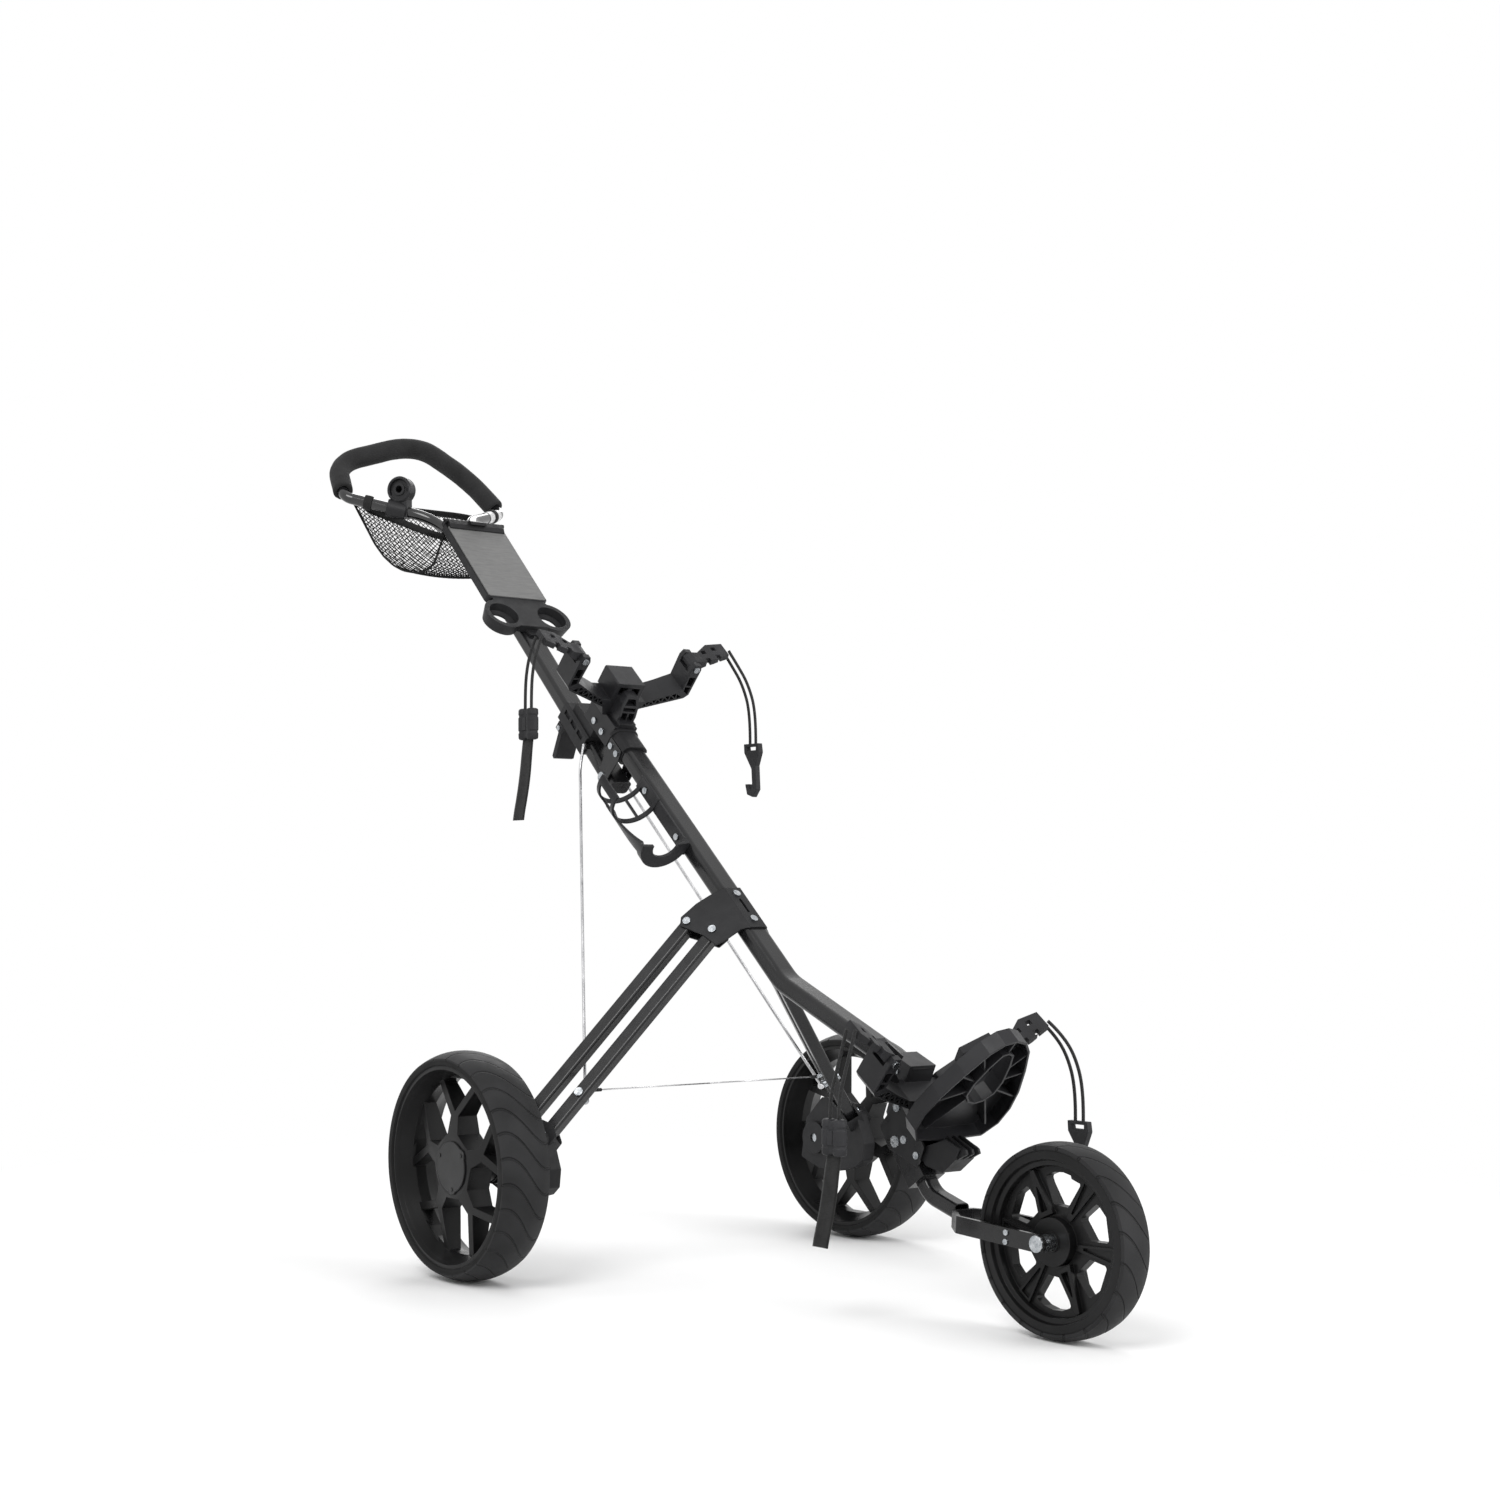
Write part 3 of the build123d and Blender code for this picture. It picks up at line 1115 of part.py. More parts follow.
lower_bolts = [
    rivet_y(BASE, LOWER_BOLT[0], LOWER_BOLT[1], PLATE_OUT, 3.0, 5.0),
    rivet_y(BASE, NOSE_X, NOSE_Z, PLATE_OUT, PIVOT_R, 6.5),
    rivet_y(BASE, NOSE_STUD[0], NOSE_STUD[1], PLATE_OUT, 3.0, 4.6),
    rivet_y(BASE, LATCH2[0], LATCH2[1], PLATE_OUT, 2.5, 4.2),
]
for (x, z), r in ((LOWER_BOLT, 3.0), ((NOSE_X, NOSE_Z), PIVOT_R), (NOSE_STUD, 3.0), (LATCH2, 2.5)):
    lower_plate = lower_plate - drill_y(BASE, x, z, r)
lower_cradle = lower_cradle - drill_y(BASE, LOWER_BOLT[0], LOWER_BOLT[1], 3.0)
lower_rivet = rivet_y(LOWER, LOWER_END - 15, 0, 19.5, RIVET_R, 4.6)
tube = tube - drill_y(LOWER, LOWER_END - 15, 0, RIVET_R)
lower_cradle = lower_cradle - drill_y(LOWER, LOWER_END - 15, 0, RIVET_R)

# ---------------------------------------------------------------- folding nose
NOSE_W, NOSE_H = 22.0, 18.0
NOSE_BEND = (477.5, 132.1)
NOSE_TIP = (530.0, 116.0)
NOSE_BLOCK_HALF = PLATE_IN - 0.35
dx, dz = NOSE_BEND[0] - NOSE_X, NOSE_BEND[1] - NOSE_Z
nose_len = math.hypot(dx, dz)
dx, dz = dx / nose_len, dz / nose_len
nose_deg = math.degrees(math.atan2(-dz, dx))
NOSE = frame(NOSE_X, NOSE_Z, nose_deg)
BLOCK_FROM, BLOCK_TO, BLOCK_DEEP = 9.8, 52.8, 14.5
nose_path = FilletPolyline(
    spot(NOSE, 22, 0, 0), (NOSE_BEND[0], 0, NOSE_BEND[1]), (NOSE_TIP[0], 0, NOSE_TIP[1]), radius=35.0
)
nose_pl = Plane(origin=nose_path @ 0, x_dir=(0, 1, 0), z_dir=nose_path % 0)
nose_full = sweep(nose_pl * RectangleRounded(NOSE_W, NOSE_H, 5.0), path=nose_path)
nose_bore = sweep(nose_pl * RectangleRounded(NOSE_W - 3.2, NOSE_H - 3.2, 3.4), path=nose_path)
nose_tube = nose_full - nose_bore
block_line = [
    (0, -10),
    (BLOCK_FROM, -BLOCK_DEEP),
    (BLOCK_TO, -BLOCK_DEEP),
    (BLOCK_TO, BLOCK_DEEP),
    (BLOCK_FROM, BLOCK_DEEP),
    (BLOCK_FROM, 10),
    (0, 10),
]
nose_block = side(NOSE, block_line, -NOSE_BLOCK_HALF, NOSE_BLOCK_HALF)
nose_block += along_y(BASE, NOSE_X, NOSE_Z, -NOSE_BLOCK_HALF, NOSE_BLOCK_HALF, 11.0)
nose_block -= nose_full
nose_block -= drill_y(BASE, NOSE_X, NOSE_Z, PIVOT_R + RUN)
nose_block -= drill_y(BASE, NOSE_STUD[0], NOSE_STUD[1], 3.0 + GAP)

FORK_BAR, FORK_H, FORK_Y = 5.0, 19.0, 35.5
FORK_BACK, FORK_NARROW, FORK_SHOULDER = -146.0, 14.0, -118.0
FORK_LINE = both_sides([(FORK_BACK, FORK_NARROW), (FORK_SHOULDER, FORK_Y), (30.0, FORK_Y)])
fork_out = plan(FORK, inset(FORK_LINE, -FORK_BAR / 2), -FORK_H / 2, FORK_H / 2, 6.0)
fork_in = plan(FORK, inset(FORK_LINE, FORK_BAR / 2), -FORK_H, FORK_H, 3.0)
fork = fork_out - fork_in - block(FORK, 0, 60, -60, 60, -40, 40)
for s in (-1, 1):
    fork += along_y(FORK, 0, 0, s * (FORK_Y - FORK_BAR / 2), s * (FORK_Y + FORK_BAR / 2), FORK_H / 2)
fork -= drill_y(FORK, 0, 0, AXLE_R)
fork_back = FORK_BACK - FORK_BAR / 2
nose_tube -= block(FORK, fork_back, 60, -40, 40, -40, 40)
arm_out = FORK_Y + FORK_BAR / 2
arm_in = FORK_Y - FORK_BAR / 2
front_axle = rivet_y(FORK, 0, 0, arm_out, AXLE_R, 9.0)
front_hub = 18.5
spacers = []
for s in (-1, 1):
    a, b = spot(FORK, 0, s * (front_hub + GAP), 0), spot(FORK, 0, s * arm_in, 0)
    spacers.append(hoop(a, b, 9.0, AXLE_R))
fork_rivets = []
for z in (4.5, -5.5):
    for s in (-1, 1):
        one = along_y(FORK, -44, z, s * arm_in, s * arm_out, 1.8)
        one += along_y(FORK, -44, z, s * arm_out, s * (arm_out + 1.5), 3.2)
        fork_rivets.append(one)
    fork = fork - drill_y(FORK, -44, z, 1.8)

lever2_half = PLATE_IN - 0.55
nose_lever = along_y(BASE, LATCH2[0], LATCH2[1], -lever2_half, lever2_half, 4.5)
NOSE_PADDLE = [
    (472, 173.5),
    (472, 181),
    (482, 189),
    (498, 194),
    (510, 199),
    (533, 190),
    (526, 177),
    (506, 161),
    (480, 166),
]
nose_lever += side(BASE, NOSE_PADDLE, -14, 14)
FIN_LINE = [(498, 168), (506, 161), (526, 177), (540, 184), (538, 189), (510, 202), (505, 197)]
for y in (-9.5, 0.0, 9.5):
    nose_lever += side(BASE, FIN_LINE, y - 1.6, y + 1.6)
for y0, y1 in ((-7.4, -2.1), (2.1, 7.4)):
    nose_lever -= side(BASE, [(510, 174), (534, 181), (534, 192), (512, 200), (505, 188)], y0, y1)
nose_lever -= drill_y(BASE, LATCH2[0], LATCH2[1], 2.5 + RUN)

# ---------------------------------------------------------------- strap cords
CORD_R = 2.0
WEB_T = 1.6
HOOK_T = 8.0
UPPER_TIP_Y, LOWER_TIP_Y = 152.3, 147.4
UPPER_NEAR = [
    (-85.0, -UPPER_TIP_Y, 797.0),
    (-88.0, -158.0, 780.0),
    (-91.0, -162.0, 757.0),
    (-95.0, -162.0, 732.0),
    (-95.0, -162.0, 706.0),
]
UPPER_FAR = [
    (-85.0, UPPER_TIP_Y, 797.0),
    (-76.0, 159.0, 779.0),
    (-64.0, 169.0, 752.0),
    (-57.0, 177.0, 714.0),
    (-57.0, 177.0, 672.0),
]
LOWER_NEAR = [
    (502.9, -LOWER_TIP_Y, 324.0),
    (500.0, -151.0, 303.0),
    (489.0, -150.0, 275.0),
    (478.0, -148.0, 248.0),
    (478.0, -148.0, 226.0),
]
LOWER_FAR = [
    (502.9, LOWER_TIP_Y, 324.0),
    (510.0, 160.0, 311.0),
    (516.0, 178.0, 285.0),
    (519.0, 190.0, 245.0),
    (519.0, 190.0, 208.0),
]


def cord_pair(route, gap):
    tubes = []
    for shift in (-gap, gap):
        pts = [Vector(x + shift, y, z) for x, y, z in route]
        tubes.append(routed(pts, bend_radii(pts), CORD_R))
    return tubes


def barrel_lock(route):
    """Double barrel cord lock, and the flat webbing tail below it."""
    x, y, z = route[-1]
    body = Pos(x, y, z - 20) * Box(22, 12, 40)
    for s in (-1, 1):
        body += bar((x + s * 9, y, z), (x + s * 9, y, z - 40), 8.0)
        body -= bar((x + s * 9, y - 12, z - 20), (x + s * 9, y + 12, z - 20), 3.0)
    tail = [(-11, -40), (11, -40), (2, -90), (-8, -142), (-32, -142), (-22, -90)]
    return [body, side(BASE, [(x + a, z + b) for a, b in tail], y - WEB_T / 2, y + WEB_T / 2)]


def hook(route):
    x, y, z = route[-1]
    line = [
        (-15, 0),
        (15, 0),
        (17, -12),
        (10, -30),
        (12, -62),
        (4, -72),
        (-8, -68),
        (-12, -54),
        (-5, -54),
        (-2, -62),
        (3, -60),
        (1, -34),
        (-14, -12),
    ]
    slot = [(-9, -4), (10, -4), (10, -9), (-8, -9)]
    body = side(BASE, [(x + a, z + b) for a, b in line], y - HOOK_T / 2, y + HOOK_T / 2)
    return [body - side(BASE, [(x + a, z + b) for a, b in slot], y - HOOK_T, y + HOOK_T)]


cords = {
    "strap_cord_upper_right": cord_pair(UPPER_NEAR, 7.0) + barrel_lock(UPPER_NEAR),
    "strap_cord_upper_left": cord_pair(UPPER_FAR, 6.0) + hook(UPPER_FAR),
    "strap_cord_lower_right": cord_pair(LOWER_NEAR, 7.0) + barrel_lock(LOWER_NEAR),
    "strap_cord_lower_left": cord_pair(LOWER_FAR, 6.0) + hook(LOWER_FAR),
}

# ---------------------------------------------------------------- write the pieces
def same(shape):
    return shape


for s, word, turn in ((-1, "right", same), (1, "left", flip)):
    put("leg_upper_" + word, turn(leg_upper))
    put("leg_lower_" + word, turn(leg_lower))
    put("leg_bolt_" + word, turn(leg_bolt))
    put("rod_" + word, turn(rod))
    put("knuckle_" + word, turn(knuckle))
    put("knuckle_pins_" + word, *[turn(q) for q in knuckle_pins], turn(rear_axle))
    rim, tyre, cap = rear_wheel(s)
    put("rear_rim_" + word, rim)
    put("rear_tyre_" + word, tyre)
    put("hub_cap_" + word, cap)
    put("strap_end_upper_" + word, strap_end(TUBE, s, STRAP_TILT_UPPER))
    put("strap_end_lower_" + word, strap_end(CRADLE2, s, STRAP_TILT_LOWER))
put("stay_cable", stay_cable)
put("mid_bracket", mid_bracket)
put("leg_inner_plates", inner_plate, flip(inner_plate))
put("mid_fasteners", *mid_screws, *wing_pins, *[flip(q) for q in wing_pins], *cage_screws)
put("front_rim", FRONT_AT * front_rim_local())
put("front_tyre", FRONT_AT * front_tyre_local())
put("upper_hinge_plates", hinge_plate, flip(hinge_plate))
put("upper_hinge_fasteners", upper_pivot, *washers, *upper_rivets, *cradle_screws)
put("upper_bag_cradle", upper_cradle)
put("strap_pins", *[strap_pin(fr, s) for fr in (TUBE, CRADLE2) for s in (-1, 1)])
put("tube_collar", collar)
put("main_tube", tube)
put("bottle_cage", cage)
put("lower_hinge_plates", lower_plate, flip(lower_plate))
put("lower_hinge_fasteners", *lower_bolts, lower_rivet)
put("lower_bag_cradle", lower_cradle)
put("bag_stirrup", stirrup)
put("nose_tube", nose_tube, nose_block)
put("front_fork", fork)
put("front_axle", front_axle, *spacers, *fork_rivets)
put("nose_latch_lever", nose_lever)
put("upper_shaft", shaft)
put("shaft_sleeve", sleeve)
put("upper_latch_lever", upper_lever)
put("shaft_fasteners", *console_screws, *handle_bolts, latch_pin)
put("console", console)
put("console_panel", panel)
put("scorecard_clip", clip)
put("handle_tube", handle)
put("handle_grip", grip)
put("tube_band", band)
put("umbrella_holder", umbrella)
put("accessory_net", net)
for name, pieces in cords.items():
    put(name, *pieces)
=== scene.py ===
"""Looks of the folding three-wheel push cart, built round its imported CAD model."""

import json
import math

import bmesh
import bpy
from mathutils import Matrix, Vector


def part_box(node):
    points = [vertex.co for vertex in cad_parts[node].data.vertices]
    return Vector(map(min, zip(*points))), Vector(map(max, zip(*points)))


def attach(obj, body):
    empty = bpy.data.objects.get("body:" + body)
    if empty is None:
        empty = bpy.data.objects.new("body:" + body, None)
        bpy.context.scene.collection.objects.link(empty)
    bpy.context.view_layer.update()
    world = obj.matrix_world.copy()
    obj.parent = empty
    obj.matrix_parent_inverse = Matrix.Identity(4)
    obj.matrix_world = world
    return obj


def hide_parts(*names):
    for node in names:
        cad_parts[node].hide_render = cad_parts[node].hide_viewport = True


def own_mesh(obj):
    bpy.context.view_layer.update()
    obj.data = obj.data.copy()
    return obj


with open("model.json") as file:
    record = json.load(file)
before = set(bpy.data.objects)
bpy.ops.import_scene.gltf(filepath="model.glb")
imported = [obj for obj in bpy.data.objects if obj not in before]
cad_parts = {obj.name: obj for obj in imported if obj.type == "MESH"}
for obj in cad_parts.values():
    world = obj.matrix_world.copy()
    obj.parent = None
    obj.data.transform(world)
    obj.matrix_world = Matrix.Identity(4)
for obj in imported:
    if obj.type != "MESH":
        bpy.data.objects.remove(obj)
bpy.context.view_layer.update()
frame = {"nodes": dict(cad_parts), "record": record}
NODES = frame["nodes"]

# ---------------------------------------------------------------- places
# Millimetres in the working frame of the part's source: X forward from the rear axle,
# Y to the left and Z up. at() turns them into the row frame, in metres.
WHEELBASE = 670.0
SHAFT_DEG = 45.2
TUBE_X, TUBE_Z, TUBE_DEG = -97.5, 657.6, 42.6
HINGE_U, HINGE_W = -4.0, -48.5

tyre_low, tyre_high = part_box("front_tyre")
CENTRE_X = WHEELBASE / 1000.0 - (tyre_low.x + tyre_high.x) / 2


def at(x, y, z):
    return Vector((x / 1000.0 - CENTRE_X, y / 1000.0, z / 1000.0))


def slope(deg):
    """Direction down a line that falls forward at this slope, and the direction square to it."""
    a = math.radians(deg)
    return Vector((math.cos(a), 0, -math.sin(a))), Vector((math.sin(a), 0, math.cos(a)))


TUBE_ALONG, TUBE_UP = slope(TUBE_DEG)
SHAFT_ALONG, SHAFT_UP = slope(SHAFT_DEG)
HINGE = Vector((TUBE_X, 0, TUBE_Z)) + TUBE_ALONG * HINGE_U + TUBE_UP * HINGE_W


def shaft_at(along, across, up):
    """A point given in the frame of the folding shaft, in millimetres."""
    p = HINGE + SHAFT_ALONG * along + Vector((0, across, 0)) + SHAFT_UP * up
    return at(*p)


def between(p, q, t):
    return Vector(p).lerp(Vector(q), t)


def on_side(p, side):
    """A point of the left side, or its mirror image on the right when side is -1."""
    return Vector((p[0], side * p[1], p[2]))


# ---------------------------------------------------------------- camera
CAMERA_MM = (2300.5, -1764.89, 465.37)
CAMERA_AZIMUTH, CAMERA_DOWN = 55.08, 2.59
LENS_MM, SENSOR_MM = 53.947, 36.0
SHIFT_X, SHIFT_Y = 0.1180, 0.1659


def make_camera():
    a = math.radians(CAMERA_AZIMUTH)
    e = math.radians(CAMERA_DOWN)
    forward = Vector((-math.sin(a) * math.cos(e), math.cos(a) * math.cos(e), -math.sin(e)))
    right = Vector((math.cos(a), math.sin(a), 0))
    up = right.cross(forward)
    data = bpy.data.cameras.new("camera")
    data.lens = LENS_MM
    data.sensor_width = SENSOR_MM
    data.shift_x = SHIFT_X
    data.shift_y = SHIFT_Y
    camera = bpy.data.objects.new("camera", data)
    turn = Matrix((right, up, -forward)).transposed()
    camera.matrix_world = Matrix.Translation(at(*CAMERA_MM)) @ turn.to_4x4()
    bpy.context.scene.collection.objects.link(camera)
    bpy.context.scene.camera = camera


make_camera()


# ---------------------------------------------------------------- mesh helpers
def show(name, mesh, body, look, smooth=True):
    """Makes mesh a piece that rides on a body, with its material."""
    piece = bpy.data.objects.new(name, mesh)
    bpy.context.scene.collection.objects.link(piece)
    if smooth:
        for face in mesh.polygons:
            face.use_smooth = True
    mesh.materials.clear()
    mesh.materials.append(look)
    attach(piece, body)
    return piece


def mesh_of(name, points, faces):
    """A checked mesh from points in metres and faces as indices."""
    mesh = bpy.data.meshes.new(name)
    mesh.from_pydata([tuple(p) for p in points], [], faces)
    mesh.validate()
    return mesh


def merged(name, meshes):
    """One mesh from several."""
    bm = bmesh.new()
    for mesh in meshes:
        bm.from_mesh(mesh)
    bmesh.ops.recalc_face_normals(bm, faces=bm.faces)
    out = bpy.data.meshes.new(name)
    bm.to_mesh(out)
    bm.free()
    return out


def soften(piece, width, segments=2, angle=28.0):
    """Rounds the sharp edges of a rigid piece."""
    bevel = piece.modifiers.new("edges", "BEVEL")
    bevel.width = width
    bevel.segments = segments
    bevel.limit_method = "ANGLE"
    bevel.angle_limit = math.radians(angle)
    bevel.harden_normals = True
    return piece


WELD = 2e-5  # metres
FLAT_DEG = 1.5


def islands_below(node, top_z):
    """The separate bodies of a CAD node whose highest point is under top_z, as a clean new mesh."""
    bm = bmesh.new()
    bm.from_mesh(NODES[node].data)
    bmesh.ops.remove_doubles(bm, verts=bm.verts, dist=WELD)
    left = set(bm.verts)
    gone = []
    while left:
        island, front = [], [left.pop()]
        while front:
            v = front.pop()
            island.append(v)
            for e in v.link_edges:
                other = e.other_vert(v)
                if other in left:
                    left.remove(other)
                    front.append(other)
        if max(v.co.z for v in island) > top_z:
            gone += island
    bmesh.ops.delete(bm, geom=gone, context="VERTS")
    flat = math.radians(FLAT_DEG)
    bmesh.ops.dissolve_limit(bm, angle_limit=flat, verts=bm.verts, edges=bm.edges)
    mesh = bpy.data.meshes.new(node + "_solid")
    bm.to_mesh(mesh)
    bm.free()
    return mesh


def swept(name, points, section, closed=False, up=(0, 0, 1)):
    """A closed section, (across, up) in metres, carried along points."""
    count = len(points)
    verts, faces = [], []
    for i, p in enumerate(points):
        before = points[i - 1] if closed or i > 0 else points[0]
        after = points[(i + 1) % count] if closed or i < count - 1 else points[-1]
        along = (Vector(after) - Vector(before)).normalized()
        across = Vector(up).cross(along).normalized()
        over = along.cross(across)
        verts += [Vector(p) + across * a + over * b for a, b in section]
    n = len(section)
    for i in range(count if closed else count - 1):
        j = (i + 1) % count
        for k in range(n):
            m = (k + 1) % n
            faces.append((i * n + k, i * n + m, j * n + m, j * n + k))
    if not closed:
        faces.append(tuple(range(n - 1, -1, -1)))
        faces.append(tuple((count - 1) * n + k for k in range(n)))
    return mesh_of(name, verts, faces)


def oval(half_wide, half_thick, sides=10):
    """A section for swept()."""
    turns = [2 * math.pi * k / sides for k in range(sides)]
    return [(half_wide * math.cos(t), half_thick * math.sin(t)) for t in turns]


CORNER_CUT = 0.25


def smooth_line(points, closed, rounds=3):
    """Cuts the corners of a line of points, again and again."""
    for _ in range(rounds):
        out = [] if closed else [points[0]]
        pairs = list(zip(points, points[1:] + points[:1] if closed else points[1:]))
        for p, q in pairs:
            out.append(between(p, q, CORNER_CUT))
            out.append(between(p, q, 1 - CORNER_CUT))
        if not closed:
            out.append(points[-1])
        points = out
    return points


# ---------------------------------------------------------------- materials
class Look:
    """A Principled material, and short ways to add procedural detail to it."""

    def __init__(self, name, roughness=0.5, metallic=0.0, specular=0.5):
        self.material = bpy.data.materials.new(name)
        self.material.use_nodes = True
        self.tree = self.material.node_tree
        self.shader = self.tree.nodes["Principled BSDF"]
        self.set(Roughness=roughness, Metallic=metallic, Specular_IOR_Level=specular)
        self.place = self.add("ShaderNodeTexCoord").outputs["Object"]
        self.normal = None

    def set(self, **levels):
        """Sets inputs of the shader, named with _ for a space."""
        for key, value in levels.items():
            self.shader.inputs[key.replace("_", " ")].default_value = value

    def add(self, kind, **settings):
        node = self.tree.nodes.new(kind)
        for key, value in settings.items():
            setattr(node, key, value)
        return node

    def join(self, source, socket):
        self.tree.links.new(source, socket)

    def stretched(self, scale):
        node = self.add("ShaderNodeMapping")
        node.inputs["Scale"].default_value = scale
        self.join(self.place, node.inputs["Vector"])
        return node.outputs["Vector"]

    def noise(self, scale, detail=4.0, stretch=None):
        node = self.add("ShaderNodeTexNoise")
        node.inputs["Scale"].default_value = scale
        node.inputs["Detail"].default_value = detail
        self.join(self.stretched(stretch) if stretch else self.place, node.inputs["Vector"])
        return node.outputs["Fac"]

    def cells(self, scale, stretch=None):
        node = self.add("ShaderNodeTexVoronoi")
        node.inputs["Scale"].default_value = scale
        self.join(self.stretched(stretch) if stretch else self.place, node.inputs["Vector"])
        return node.outputs["Distance"]

    def calc(self, operation, a, b=None):
        node = self.add("ShaderNodeMath", operation=operation)
        for socket, value in zip(node.inputs, (a, b)):
            if isinstance(value, (int, float)):
                socket.default_value = value
            elif value is not None:
                self.join(value, socket)
        return node.outputs["Value"]

    def spread(self, source, low, high, start=0.3, end=0.7):
        node = self.add("ShaderNodeMapRange")
        node.inputs["From Min"].default_value = start
        node.inputs["From Max"].default_value = end
        node.inputs["To Min"].default_value = low
        node.inputs["To Max"].default_value = high
        self.join(source, node.inputs["Value"])
        return node.outputs["Result"]

    def tint(self, source, dark, light, start=0.3, end=0.7):
        """Base colour between two tones, by source."""
        ramp = self.add("ShaderNodeValToRGB")
        ramp.color_ramp.elements[0].position = start
        ramp.color_ramp.elements[0].color = (*dark, 1)
        ramp.color_ramp.elements[1].position = end
        ramp.color_ramp.elements[1].color = (*light, 1)
        self.join(source, ramp.inputs["Fac"])
        self.join(ramp.outputs["Color"], self.shader.inputs["Base Color"])

    def rough(self, source, low, high):
        self.join(self.spread(source, low, high), self.shader.inputs["Roughness"])

    def bump(self, height, strength, distance):
        node = self.add("ShaderNodeBump")
        node.inputs["Strength"].default_value = strength
        node.inputs["Distance"].default_value = distance
        self.join(height, node.inputs["Height"])
        if self.normal:
            self.join(self.normal, node.inputs["Normal"])
        self.normal = node.outputs["Normal"]
        self.join(self.normal, self.shader.inputs["Normal"])

    def round_edges(self, radius):
        """Catches the light along edges as a moulding's small radius does."""
        node = self.add("ShaderNodeBevel", samples=4)
        node.inputs["Radius"].default_value = radius
        self.normal = node.outputs["Normal"]
        self.join(self.normal, self.shader.inputs["Normal"])


def grey(value, blue=1.0):
    return (value, value, value * blue)


def frame_paint():
    look = Look("frame_paint", specular=0.28)
    look.round_edges(0.0009)
    look.tint(look.noise(9.0, 5.0), grey(0.006, 1.05), grey(0.012, 1.08))
    look.rough(look.noise(55.0, 6.0), 0.2, 0.34)
    look.bump(look.noise(900.0, 2.0), 0.12, 0.0004)
    look.set(Coat_Weight=0.22, Coat_Roughness=0.12)
    return look.material


def gloss_paint():
    """The same black on the round handle tube, which has a deeper shine."""
    look = Look("gloss_paint", specular=0.5)
    look.tint(look.noise(12.0, 5.0), grey(0.005, 1.05), grey(0.01, 1.08))
    look.rough(look.noise(70.0, 6.0), 0.1, 0.2)
    look.bump(look.noise(600.0, 2.0), 0.08, 0.0003)
    look.set(Coat_Weight=0.4, Coat_Roughness=0.06)
    return look.material


def moulding():
    look = Look("moulding", specular=0.24)
    look.round_edges(0.0011)
    look.tint(look.noise(14.0, 6.0), grey(0.007, 1.08), grey(0.014, 1.1))
    look.rough(look.noise(70.0, 5.0), 0.42, 0.58)
    look.bump(look.noise(1500.0, 3.0), 0.35, 0.0003)
    return look.material


def satin_moulding():
    look = Look("satin_moulding", specular=0.28)
    look.round_edges(0.0012)
    look.tint(look.noise(11.0, 6.0), grey(0.009, 1.1), grey(0.016, 1.12))
    look.rough(look.noise(60.0, 5.0), 0.32, 0.46)
    look.bump(look.noise(1300.0, 3.0), 0.22, 0.0003)
    return look.material


def steel_plate():
    look = Look("steel_plate", specular=0.28)
    look.round_edges(0.0007)
    look.tint(look.noise(20.0, 6.0), grey(0.006, 1.05), grey(0.011, 1.08))
    look.rough(look.noise(80.0, 6.0), 0.26, 0.42)
    look.bump(look.noise(700.0, 3.0), 0.16, 0.0004)
    look.set(Coat_Weight=0.2)
    return look.material


def zinc():
    look = Look("zinc", metallic=1.0)
    look.round_edges(0.0005)
    look.tint(look.noise(180.0, 5.0), (0.26, 0.28, 0.3), (0.6, 0.62, 0.64))
    look.rough(look.noise(320.0, 4.0), 0.16, 0.36)
    look.bump(look.noise(1400.0, 3.0), 0.2, 0.0002)
    return look.material


def rod_steel():
    look = Look("rod_steel", metallic=1.0)
    look.tint(look.noise(40.0, 5.0), (0.42, 0.42, 0.43), (0.66, 0.66, 0.67))
    look.rough(look.noise(260.0, 4.0, (1, 1, 0.08)), 0.22, 0.42)
    look.bump(look.noise(900.0, 4.0, (1, 1, 0.05)), 0.15, 0.0002)
    return look.material


def rim_plastic():
    look = Look("rim", specular=0.2)
    look.round_edges(0.0012)
    look.tint(look.noise(12.0, 5.0), grey(0.004), grey(0.009, 1.05))
    look.rough(look.noise(45.0, 5.0), 0.26, 0.42)
    look.bump(look.noise(800.0, 2.0), 0.12, 0.0004)
    return look.material


def badge():
    look = Look("hub_badge", specular=0.3)
    look.round_edges(0.0006)
    look.tint(look.noise(30.0, 5.0), grey(0.007), grey(0.014, 1.05))
    look.rough(look.noise(90.0, 5.0), 0.28, 0.4)
    look.bump(look.noise(900.0, 2.0), 0.15, 0.0003)
    return look.material


def panel():
    """Satin grey sheet with a fine brushed grain down its length."""
    look = Look("panel", specular=0.35)
    look.round_edges(0.0004)
    look.tint(look.noise(380.0, 5.0, (1, 0.12, 1)), grey(0.115), grey(0.15, 0.98))
    look.rough(look.noise(120.0, 5.0), 0.45, 0.58)
    look.bump(look.noise(1200.0, 3.0, (1, 0.1, 1)), 0.2, 0.0002)
    return look.material


def grip_foam():
    look = Look("grip_foam", specular=0.14)
    look.tint(look.noise(26.0, 6.0), grey(0.015), grey(0.025, 1.03))
    look.rough(look.noise(90.0, 5.0), 0.78, 0.92)
    look.bump(look.cells(900.0), 0.45, 0.0004)
    look.bump(look.noise(160.0, 4.0), 0.2, 0.0008)
    look.set(Sheen_Weight=0.06)
    return look.material


def strap_rubber():
    look = Look("strap_rubber", specular=0.22)
    look.round_edges(0.0009)
    look.tint(look.noise(22.0, 6.0), grey(0.014, 1.05), grey(0.024, 1.1))
    look.rough(look.noise(100.0, 5.0), 0.48, 0.66)
    look.bump(look.noise(1300.0, 3.0), 0.3, 0.0003)
    return look.material


